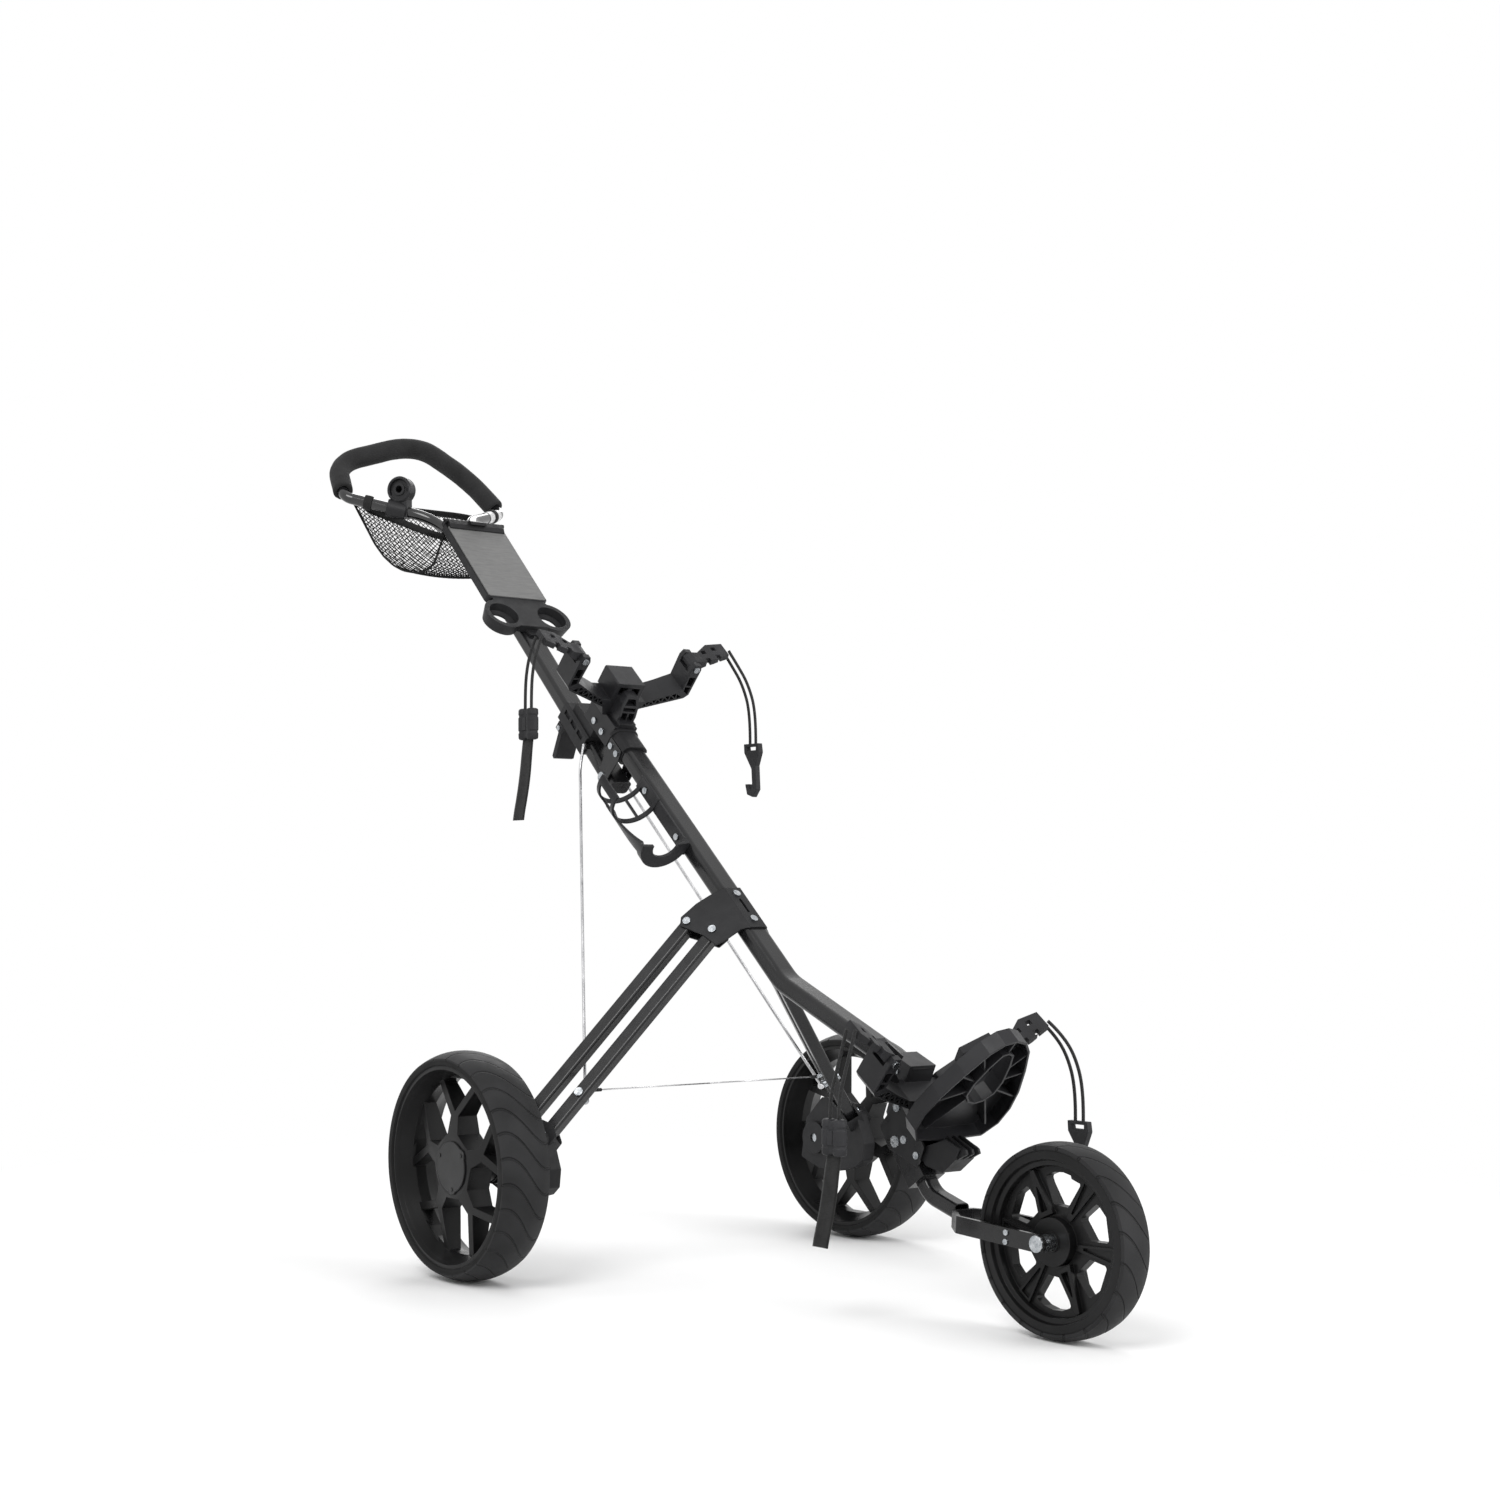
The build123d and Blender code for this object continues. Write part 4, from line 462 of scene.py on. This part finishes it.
def braid():
    """Elastic cord in a braided jacket: short slanting ribs both ways."""
    look = Look("strap_cord", specular=0.3)
    ribs = look.cells(720.0, (1, 1, 0.55))
    look.tint(ribs, grey(0.02, 1.05), grey(0.007), 0.1, 0.7)
    look.rough(look.noise(300.0, 4.0), 0.6, 0.8)
    look.bump(ribs, 0.8, 0.0005)
    look.set(Sheen_Weight=0.1)
    return look.material


RIB_RATE, WARP_RATE = 3400.0, 4200.0  # radians per metre


def webbing():
    """Flat woven tape: fine ribs across it, with fuzz."""
    look = Look("webbing", specular=0.2)
    split = look.add("ShaderNodeSeparateXYZ")
    look.join(look.place, split.inputs["Vector"])
    ribs = look.calc("SINE", look.calc("MULTIPLY", split.outputs["Z"], RIB_RATE))
    warp = look.calc("SINE", look.calc("MULTIPLY", split.outputs["X"], WARP_RATE))
    weave = look.calc("ADD", look.calc("MULTIPLY", ribs, 0.3), look.calc("MULTIPLY", warp, 0.2))
    look.tint(look.noise(60.0, 6.0), grey(0.008), grey(0.015))
    look.rough(look.noise(200.0, 5.0), 0.75, 0.92)
    look.bump(weave, 0.5, 0.0004)
    look.set(Sheen_Weight=0.12)
    return look.material


def net_cord(name="net_cord", light=0.012):
    look = Look(name, specular=0.1)
    look.tint(look.noise(700.0, 4.0), grey(light * 0.55), grey(light))
    look.rough(look.noise(240.0, 4.0), 0.66, 0.84)
    look.bump(look.noise(2200.0, 3.0), 0.5, 0.0003)
    look.set(Sheen_Weight=0.04)
    return look.material


def clear_band():
    """Milky clear sleeve over the bare tube."""
    look = Look("clear_band", specular=0.5)
    look.tint(look.noise(120.0, 4.0), grey(0.62), grey(0.8))
    look.rough(look.noise(200.0, 4.0), 0.22, 0.38)
    look.bump(look.noise(500.0, 3.0), 0.12, 0.0003)
    look.set(Transmission_Weight=0.25)
    return look.material


# For each wheel: pitches of the pattern round it, and how far a groove swings.
GROOVES = {"front": (10, 1.2), "rear": (14, 1.9)}
GROOVE_LEAN, GROOVE_DEEP = 2.4, 0.0028
TREAD_SHARE, SHOULDER = 0.93, 0.012
RING_RATE = 1500.0  # radians per metre


def tyre_foam(name, node, pitches, swing):
    """Moulded foam: a tread lightened by dust and by painted sheen, with sweeping grooves, and rings on the
    sidewall.
    """
    low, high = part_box(node)
    hub = (low + high) / 2
    radius = (high.z - low.z) / 2
    half = (high.y - low.y) / 2
    look = Look(name, specular=0.16)
    shifted = look.add("ShaderNodeVectorMath", operation="SUBTRACT")
    shifted.inputs[1].default_value = hub
    look.join(look.place, shifted.inputs[0])
    split = look.add("ShaderNodeSeparateXYZ")
    look.join(shifted.outputs["Vector"], split.inputs["Vector"])
    x, y, z = (split.outputs[k] for k in "XYZ")
    angle = look.calc("ARCTAN2", z, x)
    across = look.calc("DIVIDE", y, half)
    lean = look.calc("MULTIPLY", look.calc("SINE", look.calc("MULTIPLY", across, swing)), GROOVE_LEAN)
    turn = look.calc("ADD", look.calc("MULTIPLY", angle, float(pitches)), lean)
    wave = look.calc("ABSOLUTE", look.calc("SINE", turn))
    groove = look.spread(wave, 0.0, 1.0, 0.03, 0.22)
    out = look.calc("SQRT", look.calc("ADD", look.calc("MULTIPLY", x, x), look.calc("MULTIPLY", z, z)))
    on_tread = look.spread(out, 0.0, 1.0, radius * (TREAD_SHARE - SHOULDER), radius * TREAD_SHARE)
    plain = look.calc("SUBTRACT", 1.0, on_tread)
    height = look.calc("MAXIMUM", groove, plain)
    rings = look.calc("SINE", look.calc("MULTIPLY", out, RING_RATE))
    # The tread is painted lighter than the sidewall, part dust and part painted sheen where light falls on
    # it.
    dust_and_sheen = look.calc("MULTIPLY", look.spread(look.noise(30.0, 6.0), 0.45, 1.0), on_tread)
    look.tint(dust_and_sheen, grey(0.005, 1.02), grey(0.024, 1.04), 0.0, 1.0)
    look.rough(look.noise(60.0, 6.0), 0.5, 0.66)
    look.bump(height, 1.0, GROOVE_DEEP)
    look.bump(look.calc("MULTIPLY", rings, plain), 0.12, 0.0003)
    look.bump(look.noise(900.0, 4.0), 0.3, 0.0004)
    return look.material


LOOKS = {
    "frame_paint": frame_paint(),
    "moulding": moulding(),
    "steel_plate": steel_plate(),
    "zinc": zinc(),
    "rod_steel": rod_steel(),
    "rim": rim_plastic(),
    "panel": panel(),
    "grip_foam": grip_foam(),
    "net_cord": net_cord(),
    "strap_rubber": strap_rubber(),
    "strap_cord": braid(),
    "clear_band": clear_band(),
    "hub_badge": badge(),
}
SATIN = satin_moulding()
WEBBING = webbing()
BINDING = net_cord("net_binding", 0.022)
GLOSS = gloss_paint()
GLOSS_NODES = ("handle_tube",)
SATIN_NODES = ("upper_bag_cradle", "lower_bag_cradle", "bag_stirrup", "bottle_cage", "umbrella_holder")


def dress_nodes():
    for part in frame["record"]["subparts"]:
        node = part["node"]
        slot = part["material_slot"]
        if slot == "tyre_foam":
            look = tyre_foam(node + "_foam", node, *GROOVES[node.split("_")[0]])
        elif node in SATIN_NODES:
            look = SATIN
        elif node in GLOSS_NODES:
            look = GLOSS
        else:
            look = LOOKS[slot]
        NODES[node].data.materials.clear()
        NODES[node].data.materials.append(look)


dress_nodes()

# ---------------------------------------------------------------- strap cords
# Routes run from the strap end down to the lock or hook, in the middle of each pair of cords.
CORD_R = 2.0
UPPER_TIP_Y, LOWER_TIP_Y = 152.3, 147.4
LOCK_GAP, HOOK_GAP = 7.0, 6.0
HOOK_RISE = 0.002  # metres over a route's end: a solid wholly under this height is the hook
UPPER_RIGHT = [
    (-85.0, -UPPER_TIP_Y, 797.0),
    (-88.0, -158.0, 780.0),
    (-91.0, -162.0, 757.0),
    (-95.0, -162.0, 732.0),
    (-95.0, -162.0, 706.0),
]
UPPER_LEFT = [
    (-85.0, UPPER_TIP_Y, 797.0),
    (-76.0, 159.0, 779.0),
    (-64.0, 169.0, 752.0),
    (-57.0, 177.0, 714.0),
    (-57.0, 177.0, 672.0),
]
LOWER_RIGHT = [
    (502.9, -LOWER_TIP_Y, 324.0),
    (500.0, -151.0, 303.0),
    (489.0, -150.0, 275.0),
    (478.0, -148.0, 248.0),
    (478.0, -148.0, 226.0),
]
LOWER_LEFT = [
    (502.9, LOWER_TIP_Y, 324.0),
    (510.0, 160.0, 311.0),
    (516.0, 178.0, 285.0),
    (519.0, 190.0, 245.0),
    (519.0, 190.0, 208.0),
]


def cord_curve(name, route, shift, body):
    """One elastic cord, as a smooth spline with the route's points as its control points."""
    data = bpy.data.curves.new(name, "CURVE")
    data.dimensions = "3D"
    data.bevel_depth = CORD_R / 1000.0
    data.bevel_resolution = 4
    data.resolution_u = 10
    data.use_fill_caps = True
    spline = data.splines.new("NURBS")
    spline.points.add(len(route) - 1)
    for point, (x, y, z) in zip(spline.points, route):
        point.co = (*at(x + shift, y, z), 1.0)
    spline.order_u = 3
    spline.use_endpoint_u = True
    data.materials.append(LOOKS["strap_cord"])
    piece = bpy.data.objects.new(name, data)
    bpy.context.scene.collection.objects.link(piece)
    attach(piece, body)
    return piece


# Flat webbing tail under a barrel lock: how far down, and its two edges along X, in millimetres
TAIL_ROWS = [
    (-38.0, -11.0, 11.0),
    (-62.0, -16.5, 6.5),
    (-90.0, -22.0, 2.0),
    (-118.0, -27.0, -3.0),
    (-142.0, -32.0, -8.0),
]
TAIL_THICK, TAIL_CURL, TAIL_CUP = 1.6, 2.2, 0.7
TAIL_WAVES = 1.6


def tail_piece(name, route, body):
    """The woven tail, hanging with a slight wave."""
    x, y, z = route[-1]
    rows, columns = 28, 8
    points = []
    for i in range(rows + 1):
        t = i / rows * (len(TAIL_ROWS) - 1)
        k = min(int(t), len(TAIL_ROWS) - 2)
        down, left, right = Vector(TAIL_ROWS[k]).lerp(Vector(TAIL_ROWS[k + 1]), t - k)
        wave = TAIL_CURL * math.sin(i / rows * math.pi * TAIL_WAVES)
        for j in range(columns + 1):
            s = j / columns
            cup = TAIL_CUP * math.sin(s * math.pi) * (i / rows)
            points.append(at(x + left + (right - left) * s, y + wave * (i / rows) + cup, z + down))
    n = columns + 1
    faces = [
        (i * n + j, i * n + j + 1, (i + 1) * n + j + 1, (i + 1) * n + j)
        for i in range(rows)
        for j in range(columns)
    ]
    piece = show(name, mesh_of(name, points, faces), body, WEBBING)
    thick = piece.modifiers.new("thickness", "SOLIDIFY")
    thick.thickness = TAIL_THICK / 1000.0
    thick.offset = 0.0
    return piece


BARREL_LONG, BARREL_AT = 40.0, 9.0
BRIDGE_HALF = (6.0, 5.4, 17.5)
BUTTON_AT, BUTTON_HALF = 6.3, (4.2, 1.1, 8.0)
BARREL_PROFILE = [
    (0.0, 0.0),
    (4.4, 0.0),
    (6.6, -0.8),
    (7.6, -2.4),
    (7.8, -8.0),
    (7.0, -9.0),
    (7.0, -11.0),
    (7.9, -12.0),
    (7.9, -28.0),
    (7.0, -29.0),
    (7.0, -31.0),
    (7.8, -32.0),
    (7.6, -37.6),
    (6.6, -39.2),
    (4.4, -BARREL_LONG),
    (0.0, -BARREL_LONG),
]


def lathe(name, centre, profile, sides=28):
    """A turned body round the vertical through centre, from (radius, height) pairs in millimetres."""
    x, y, z = centre
    points, faces = [], []
    for r, h in profile:
        for k in range(sides):
            a = 2 * math.pi * k / sides
            points.append(at(x + r * math.cos(a), y + r * math.sin(a), z + h))
    for i in range(len(profile) - 1):
        for k in range(sides):
            m = (k + 1) % sides
            faces.append((i * sides + k, i * sides + m, (i + 1) * sides + m, (i + 1) * sides + k))
    return mesh_of(name, points, faces)


def slab(name, centre, half):
    """A box about centre with half sizes, in millimetres."""
    bm = bmesh.new()
    bmesh.ops.create_cube(bm, size=2.0)
    for v in bm.verts:
        v.co = at(*(c + h * s for c, h, s in zip(centre, half, v.co)))
    mesh = bpy.data.meshes.new(name)
    bm.to_mesh(mesh)
    bm.free()
    return mesh


def barrel_lock(name, route, body):
    """Two ribbed barrels on one bridge, with a press button across them."""
    x, y, z = route[-1]
    parts = [lathe(name, (x + s * BARREL_AT, y, z), BARREL_PROFILE) for s in (-1, 1)]
    middle = z - BARREL_LONG / 2
    parts.append(slab(name, (x, y, middle), BRIDGE_HALF))
    for s in (-1, 1):
        parts.append(slab(name, (x, y + s * BUTTON_AT, middle), BUTTON_HALF))
    piece = show(name, merged(name, parts), body, LOOKS["strap_rubber"])
    return soften(piece, 0.0005, angle=40.0)


# Route, length of each cord in metres, how far each lies from the route, and what hangs on the pair
STRAPS = {
    "upper_right": (UPPER_RIGHT, 0.0929, LOCK_GAP, "lock"),
    "lower_right": (LOWER_RIGHT, 0.1023, LOCK_GAP, "lock"),
    "upper_left": (UPPER_LEFT, 0.1334, HOOK_GAP, "hook"),
    "lower_left": (LOWER_LEFT, 0.1298, HOOK_GAP, "hook"),
}


def make_strap(name, route, length, gap, end):
    """A pair of cords and what hangs on them, in place of one CAD node: a lock with its tail, or a hook."""
    body = "strap_" + name
    node = "strap_cord_" + name
    if end == "lock":
        fitting = barrel_lock("cord_lock_" + name, route, body)
        tail = tail_piece("webbing_tail_" + name, route, body)
        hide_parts(node)
    else:
        mesh = islands_below(node, at(*route[-1]).z + HOOK_RISE)
        fitting = show("cord_hook_" + name, mesh, body, LOOKS["strap_rubber"], False)
        soften(fitting, 0.0009, segments=3)
    for side, shift in (("a", -gap), ("b", gap)):
        cord = cord_curve("cord_" + name + "_" + side, route, shift, body)
        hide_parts(node)


for strap, facts in STRAPS.items():
    make_strap(strap, *facts)

# ---------------------------------------------------------------- stay cable
# In metres
WIRE_R, SLEEVE_R, SLEEVE_LONG = 0.0009, 0.0022, 0.009
WIRE_INSET, WIRE_SPLIT = 0.002, 0.00005


def make_stay():
    """The wire between the lower legs as two halves, each riding on its own leg."""
    low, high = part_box("stay_cable")
    x, z = (low.x + high.x) / 2, (low.z + high.z) / 2
    for side, y_end in (("right", low.y), ("left", high.y)):
        leg = "leg_lower_" + side
        inward = math.copysign(1.0, -y_end)
        end = Vector((x, y_end, z))
        sleeve_line = [end, end + Vector((0, inward * SLEEVE_LONG, 0))]
        sleeve_mesh = swept("stay_sleeve", sleeve_line, oval(SLEEVE_R, SLEEVE_R, 16))
        sleeve = show("stay_sleeve_" + side, sleeve_mesh, leg, LOOKS["moulding"])
        wire_line = [end + Vector((0, inward * WIRE_INSET, 0)), Vector((x, -inward * WIRE_SPLIT, z))]
        wire_mesh = swept("stay_wire", wire_line, oval(WIRE_R, WIRE_R, 12))
        wire = show("stay_wire_" + side, wire_mesh, leg, LOOKS["rod_steel"])
        for piece in (sleeve, wire):
            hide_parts("stay_cable")
        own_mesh(wire)


make_stay()

# ---------------------------------------------------------------- handle grip
# In metres
GRIP_VOXEL = 0.0022
CREASE_DEPTH, CREASE_SIZE = 0.0006, 0.03


def make_grip():
    """Foam grip from its CAD solid, with rounded ends and soft creases over it."""
    mesh = NODES["handle_grip"].data.copy()
    grip = show("grip_foam_sleeve", mesh, "shaft", LOOKS["grip_foam"])
    remesh = grip.modifiers.new("remesh", "REMESH")
    remesh.mode = "VOXEL"
    remesh.voxel_size = GRIP_VOXEL
    remesh.use_smooth_shade = True
    relax = grip.modifiers.new("relax", "SMOOTH")
    relax.factor = 0.5
    relax.iterations = 6
    folds = bpy.data.textures.new("grip_folds", "CLOUDS")
    folds.noise_scale = CREASE_SIZE
    fold = grip.modifiers.new("folds", "DISPLACE")
    fold.texture = folds
    fold.texture_coords = "LOCAL"
    fold.strength = CREASE_DEPTH * 2
    fold.mid_level = 0.5
    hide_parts("handle_grip")


make_grip()

# ---------------------------------------------------------------- accessory net
RIM_BACK, RIM_FRONT = (-654.0, 109.0, -60.0), (-522.0, 34.0, -12.0)
LOW_BACK, LOW_FRONT = (-545.0, 85.0, -90.0), (-515.0, 32.0, -74.0)
NET_HALF_CELL = 4.1
STRAND = 0.0016  # metres, as are the widths of the binding and the seams
BAG_SAG = 7.0
BACK_BULGE, SIDE_BULGE = (-0.35, 0, -0.94), (0, 0.8, -0.3)


def seam_line(side, steps):
    """The seam down the back, under and up the front of the bag, at one side."""
    corners = [on_side(p, side) for p in (RIM_BACK, LOW_BACK, LOW_FRONT, RIM_FRONT)]
    points = smooth_line(corners, closed=False, rounds=2)
    lengths = [0.0]
    for p, q in zip(points, points[1:]):
        lengths.append(lengths[-1] + (q - p).length)
    out = []
    for i in range(steps + 1):
        want = lengths[-1] * i / steps
        k = max(j for j in range(len(points) - 1) if lengths[j] <= want + 1e-9)
        share = (want - lengths[k]) / (lengths[k + 1] - lengths[k])
        out.append(points[k].lerp(points[k + 1], share))
    return out


def cells_in(span):
    """How many half cells of the net fit a span, as an even number."""
    return 2 * round(span / NET_HALF_CELL / 2)


def diamond_net(name, surface, columns, rows):
    """Diamond cells over surface(u, v), which also tells whether a point lies past the seam."""
    points, past, index, faces = [], [], {}, []
    for j in range(rows + 1):
        for i in range(columns + 1):
            if (i + j) % 2 == 0:
                point, outside = surface(i / columns, j / rows)
                index[i, j] = len(points)
                points.append(point)
                past.append(outside)
    for j in range(rows + 1):
        for i in range(columns + 1):
            ring = [(i, j - 1), (i + 1, j), (i, j + 1), (i - 1, j)]
            face = [index[c] for c in ring if c in index]
            if (i + j) % 2 and len(face) >= 3 and not all(past[k] for k in face):
                faces.append(face)
    return mesh_of(name, points, faces)


PANEL_STEPS = 40
SEAM_LEFT = seam_line(1, PANEL_STEPS)
SEAM_RIGHT = seam_line(-1, PANEL_STEPS)
RIM_HALF = RIM_BACK[1]
SIDE_DEEP = 75.0


def on_seam(seam, t):
    """The point at share t of a seam."""
    k = min(int(t * PANEL_STEPS), PANEL_STEPS - 1)
    return seam[k].lerp(seam[k + 1], t * PANEL_STEPS - k)


def bag_panel(u, v):
    """The long panel: across by u, and down the back, under and up the front by v."""
    p = on_seam(SEAM_LEFT, v)
    half = p.y
    across = (2 * u - 1) * RIM_HALF
    p.y = max(-half, min(half, across))
    belly = BAG_SAG * math.sin(math.pi * v) * (1 - (p.y / half) ** 2)
    return shaft_at(*(p + Vector(BACK_BULGE) * belly)), abs(across) > half


def side_panel(side):
    """One side panel: along the rim by u, and down to the seam by v."""
    seam = SEAM_LEFT if side > 0 else SEAM_RIGHT

    def surface(u, v):
        rim = seam[0].lerp(seam[-1], u)
        edge = on_seam(seam, u)
        deep = max((edge - rim).length, 0.1)
        share = min(1.0, v * SIDE_DEEP / deep)
        belly = BAG_SAG * math.sin(math.pi * u) * math.sin(math.pi * share)
        p = rim.lerp(edge, share) + on_side(SIDE_BULGE, side) * belly
        return shaft_at(*p), v * SIDE_DEEP > deep

    return surface


HANDLE_NECK, HANDLE_ELBOW = (-567.0, 25.5, -11.5), (-644.6, 136.1, -43.3)
TAB_ON_TUBE, TAB_ON_RIM = 0.74, 0.04
TAB_BORE, TAB_THICK, TAB_HALF = 9.3, 1.5, 6.0
LOOP_SIDES, TAB_STEPS = 32, 6


def net_tabs():
    """Tape loops that carry the rim's back corners on the handle tube."""
    meshes = []
    for side in (1, -1):
        neck = on_side(HANDLE_NECK, side)
        elbow = on_side(HANDLE_ELBOW, side)
        middle = neck.lerp(elbow, TAB_ON_TUBE)
        run = (elbow - neck).normalized()
        out = run.cross(Vector((0, 0, 1))).normalized()
        up = out.cross(run)
        centre = TAB_BORE + TAB_THICK / 2
        loop = []
        for k in range(LOOP_SIDES):
            a = 2 * math.pi * k / LOOP_SIDES
            loop.append(shaft_at(*(middle + (out * math.cos(a) + up * math.sin(a)) * centre)))
        flat = shaft_at(*run) - shaft_at(0, 0, 0)
        on_edge = [(b, a) for a, b in oval(TAB_HALF / 1000.0, TAB_THICK / 2000.0)]
        meshes.append(swept("tab_loop", loop, on_edge, True, flat))
        rim = on_side(RIM_BACK, side).lerp(on_side(RIM_FRONT, side), TAB_ON_RIM)
        toward = (rim - middle).normalized()
        start = middle + toward * centre
        strap = [shaft_at(*start.lerp(rim, k / TAB_STEPS)) for k in range(TAB_STEPS + 1)]
        meshes.append(swept("tab_strap", strap, on_edge, False, flat))
    return meshes


BINDING_HALF, BINDING_THIN = 0.0055, 0.0016
SEAM_HALF, SEAM_THIN = 0.0022, 0.0009


def make_net():
    """Knotted net bag in three panels, with taped seams and a bound rim."""
    wide = 2 * RIM_HALF
    deep = sum((q - p).length for p, q in zip(SEAM_LEFT, SEAM_LEFT[1:]))
    rim_long = (Vector(RIM_FRONT) - Vector(RIM_BACK)).length
    parts = [diamond_net("net_long", bag_panel, cells_in(wide), cells_in(deep))]
    for side in (-1, 1):
        parts.append(diamond_net("net_side", side_panel(side), cells_in(rim_long), cells_in(SIDE_DEEP)))
    net = show("net_mesh", merged("net_mesh", parts), "shaft", LOOKS["net_cord"])
    wire = net.modifiers.new("strands", "WIREFRAME")
    wire.thickness = STRAND
    wire.use_even_offset = False
    wire.use_relative_offset = False
    seams = []
    for seam in (SEAM_LEFT, SEAM_RIGHT):
        line = [shaft_at(*p) for p in seam]
        seams.append(swept("net_seam", line, oval(SEAM_HALF, SEAM_THIN), up=SHAFT_UP))
    corners = [Vector(RIM_BACK), Vector(RIM_FRONT), on_side(RIM_FRONT, -1), on_side(RIM_BACK, -1)]
    long_way = [corners[0], corners[0].lerp(corners[1], 0.5), corners[1], corners[2]]
    long_way += [corners[2].lerp(corners[3], 0.5), corners[3], corners[3].lerp(corners[0], 0.5)]
    rim = [shaft_at(*p) for p in smooth_line(long_way, closed=True)]
    seams.append(swept("net_rim", rim, oval(BINDING_THIN, BINDING_HALF), closed=True, up=SHAFT_UP))
    seams += net_tabs()
    trim = show("net_binding", merged("net_binding", seams), "shaft", BINDING)
    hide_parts("accessory_net")


make_net()

# ---------------------------------------------------------------- studio
FLOOR_HALF = 30.0
FLOOR_NEAR, FLOOR_FAR = 0.7, 1.5
FLOOR_DROP = 0.0005
WORLD_LIGHT = 0.75
LAMP_TARGET = (0.0, 0.0, 0.5)
# Name, place, diameter and watts of each lamp
LAMPS = (
    ("key", (1.6, -3.2, 3.4), 2.4, 95.0),
    ("fill", (3.8, 1.4, 1.9), 2.6, 85.0),
    ("back", (-3.0, 2.0, 3.0), 2.4, 55.0),
)


def seen_directly(tree):
    """One for rays from the camera, and for those that mirrors and glass send on."""
    path = tree.nodes.new("ShaderNodeLightPath")
    total = path.outputs["Is Camera Ray"]
    for kind in ("Is Glossy Ray", "Is Transmission Ray"):
        either = tree.nodes.new("ShaderNodeMath")
        either.operation = "MAXIMUM"
        tree.links.new(total, either.inputs[0])
        tree.links.new(path.outputs[kind], either.inputs[1])
        total = either.outputs["Value"]
    return total


def make_floor():
    """Pale floor that takes the cart's shadow, and runs out into the white backdrop."""
    corners = [(-1, -1), (1, -1), (1, 1), (-1, 1)]
    points = [Vector((x * FLOOR_HALF, y * FLOOR_HALF, -FLOOR_DROP)) for x, y in corners]
    floor = bpy.data.objects.new("floor", mesh_of("floor", points, [(0, 1, 2, 3)]))
    bpy.context.scene.collection.objects.link(floor)
    look = Look("floor", roughness=0.9, specular=0.1)
    look.tint(look.noise(3.0, 3.0), grey(0.86), grey(0.9))
    reach = look.add("ShaderNodeVectorMath", operation="LENGTH")
    look.join(look.place, reach.inputs[0])
    far = look.spread(reach.outputs["Value"], 0.0, 1.0, FLOOR_NEAR, FLOOR_FAR)
    white = look.add("ShaderNodeEmission")
    white.inputs["Strength"].default_value = 1.0
    mix = look.add("ShaderNodeMixShader")
    look.join(look.calc("MULTIPLY", far, seen_directly(look.tree)), mix.inputs["Fac"])
    look.join(look.shader.outputs["BSDF"], mix.inputs[1])
    look.join(white.outputs["Emission"], mix.inputs[2])
    look.join(mix.outputs["Shader"], look.tree.nodes["Material Output"].inputs["Surface"])
    floor.data.materials.append(look.material)


def add_lamp(name, place, size, power):
    """A round area lamp that looks at the middle of the cart."""
    data = bpy.data.lights.new(name, "AREA")
    data.shape = "DISK"
    data.size = size
    data.energy = power
    lamp = bpy.data.objects.new(name, data)
    lamp.location = place
    lamp.rotation_mode = "QUATERNION"
    lamp.rotation_quaternion = (Vector(place) - Vector(LAMP_TARGET)).to_track_quat("Z", "Y")
    bpy.context.scene.collection.objects.link(lamp)


def make_world():
    """A white backdrop that lights the cart with less than its full strength."""
    world = bpy.data.worlds.new("studio")
    bpy.context.scene.world = world
    world.use_nodes = True
    tree = world.node_tree
    seen = tree.nodes["Background"]
    seen.inputs["Color"].default_value = (1, 1, 1, 1)
    seen.inputs["Strength"].default_value = 1.0
    light = tree.nodes.new("ShaderNodeBackground")
    light.inputs["Color"].default_value = (1, 1, 1, 1)
    light.inputs["Strength"].default_value = WORLD_LIGHT
    mix = tree.nodes.new("ShaderNodeMixShader")
    tree.links.new(seen_directly(tree), mix.inputs["Fac"])
    tree.links.new(light.outputs["Background"], mix.inputs[1])
    tree.links.new(seen.outputs["Background"], mix.inputs[2])
    tree.links.new(mix.outputs["Shader"], tree.nodes["World Output"].inputs["Surface"])


make_floor()
make_world()
for lamp in LAMPS:
    add_lamp(*lamp)
bpy.context.scene.view_settings.view_transform = "Standard"
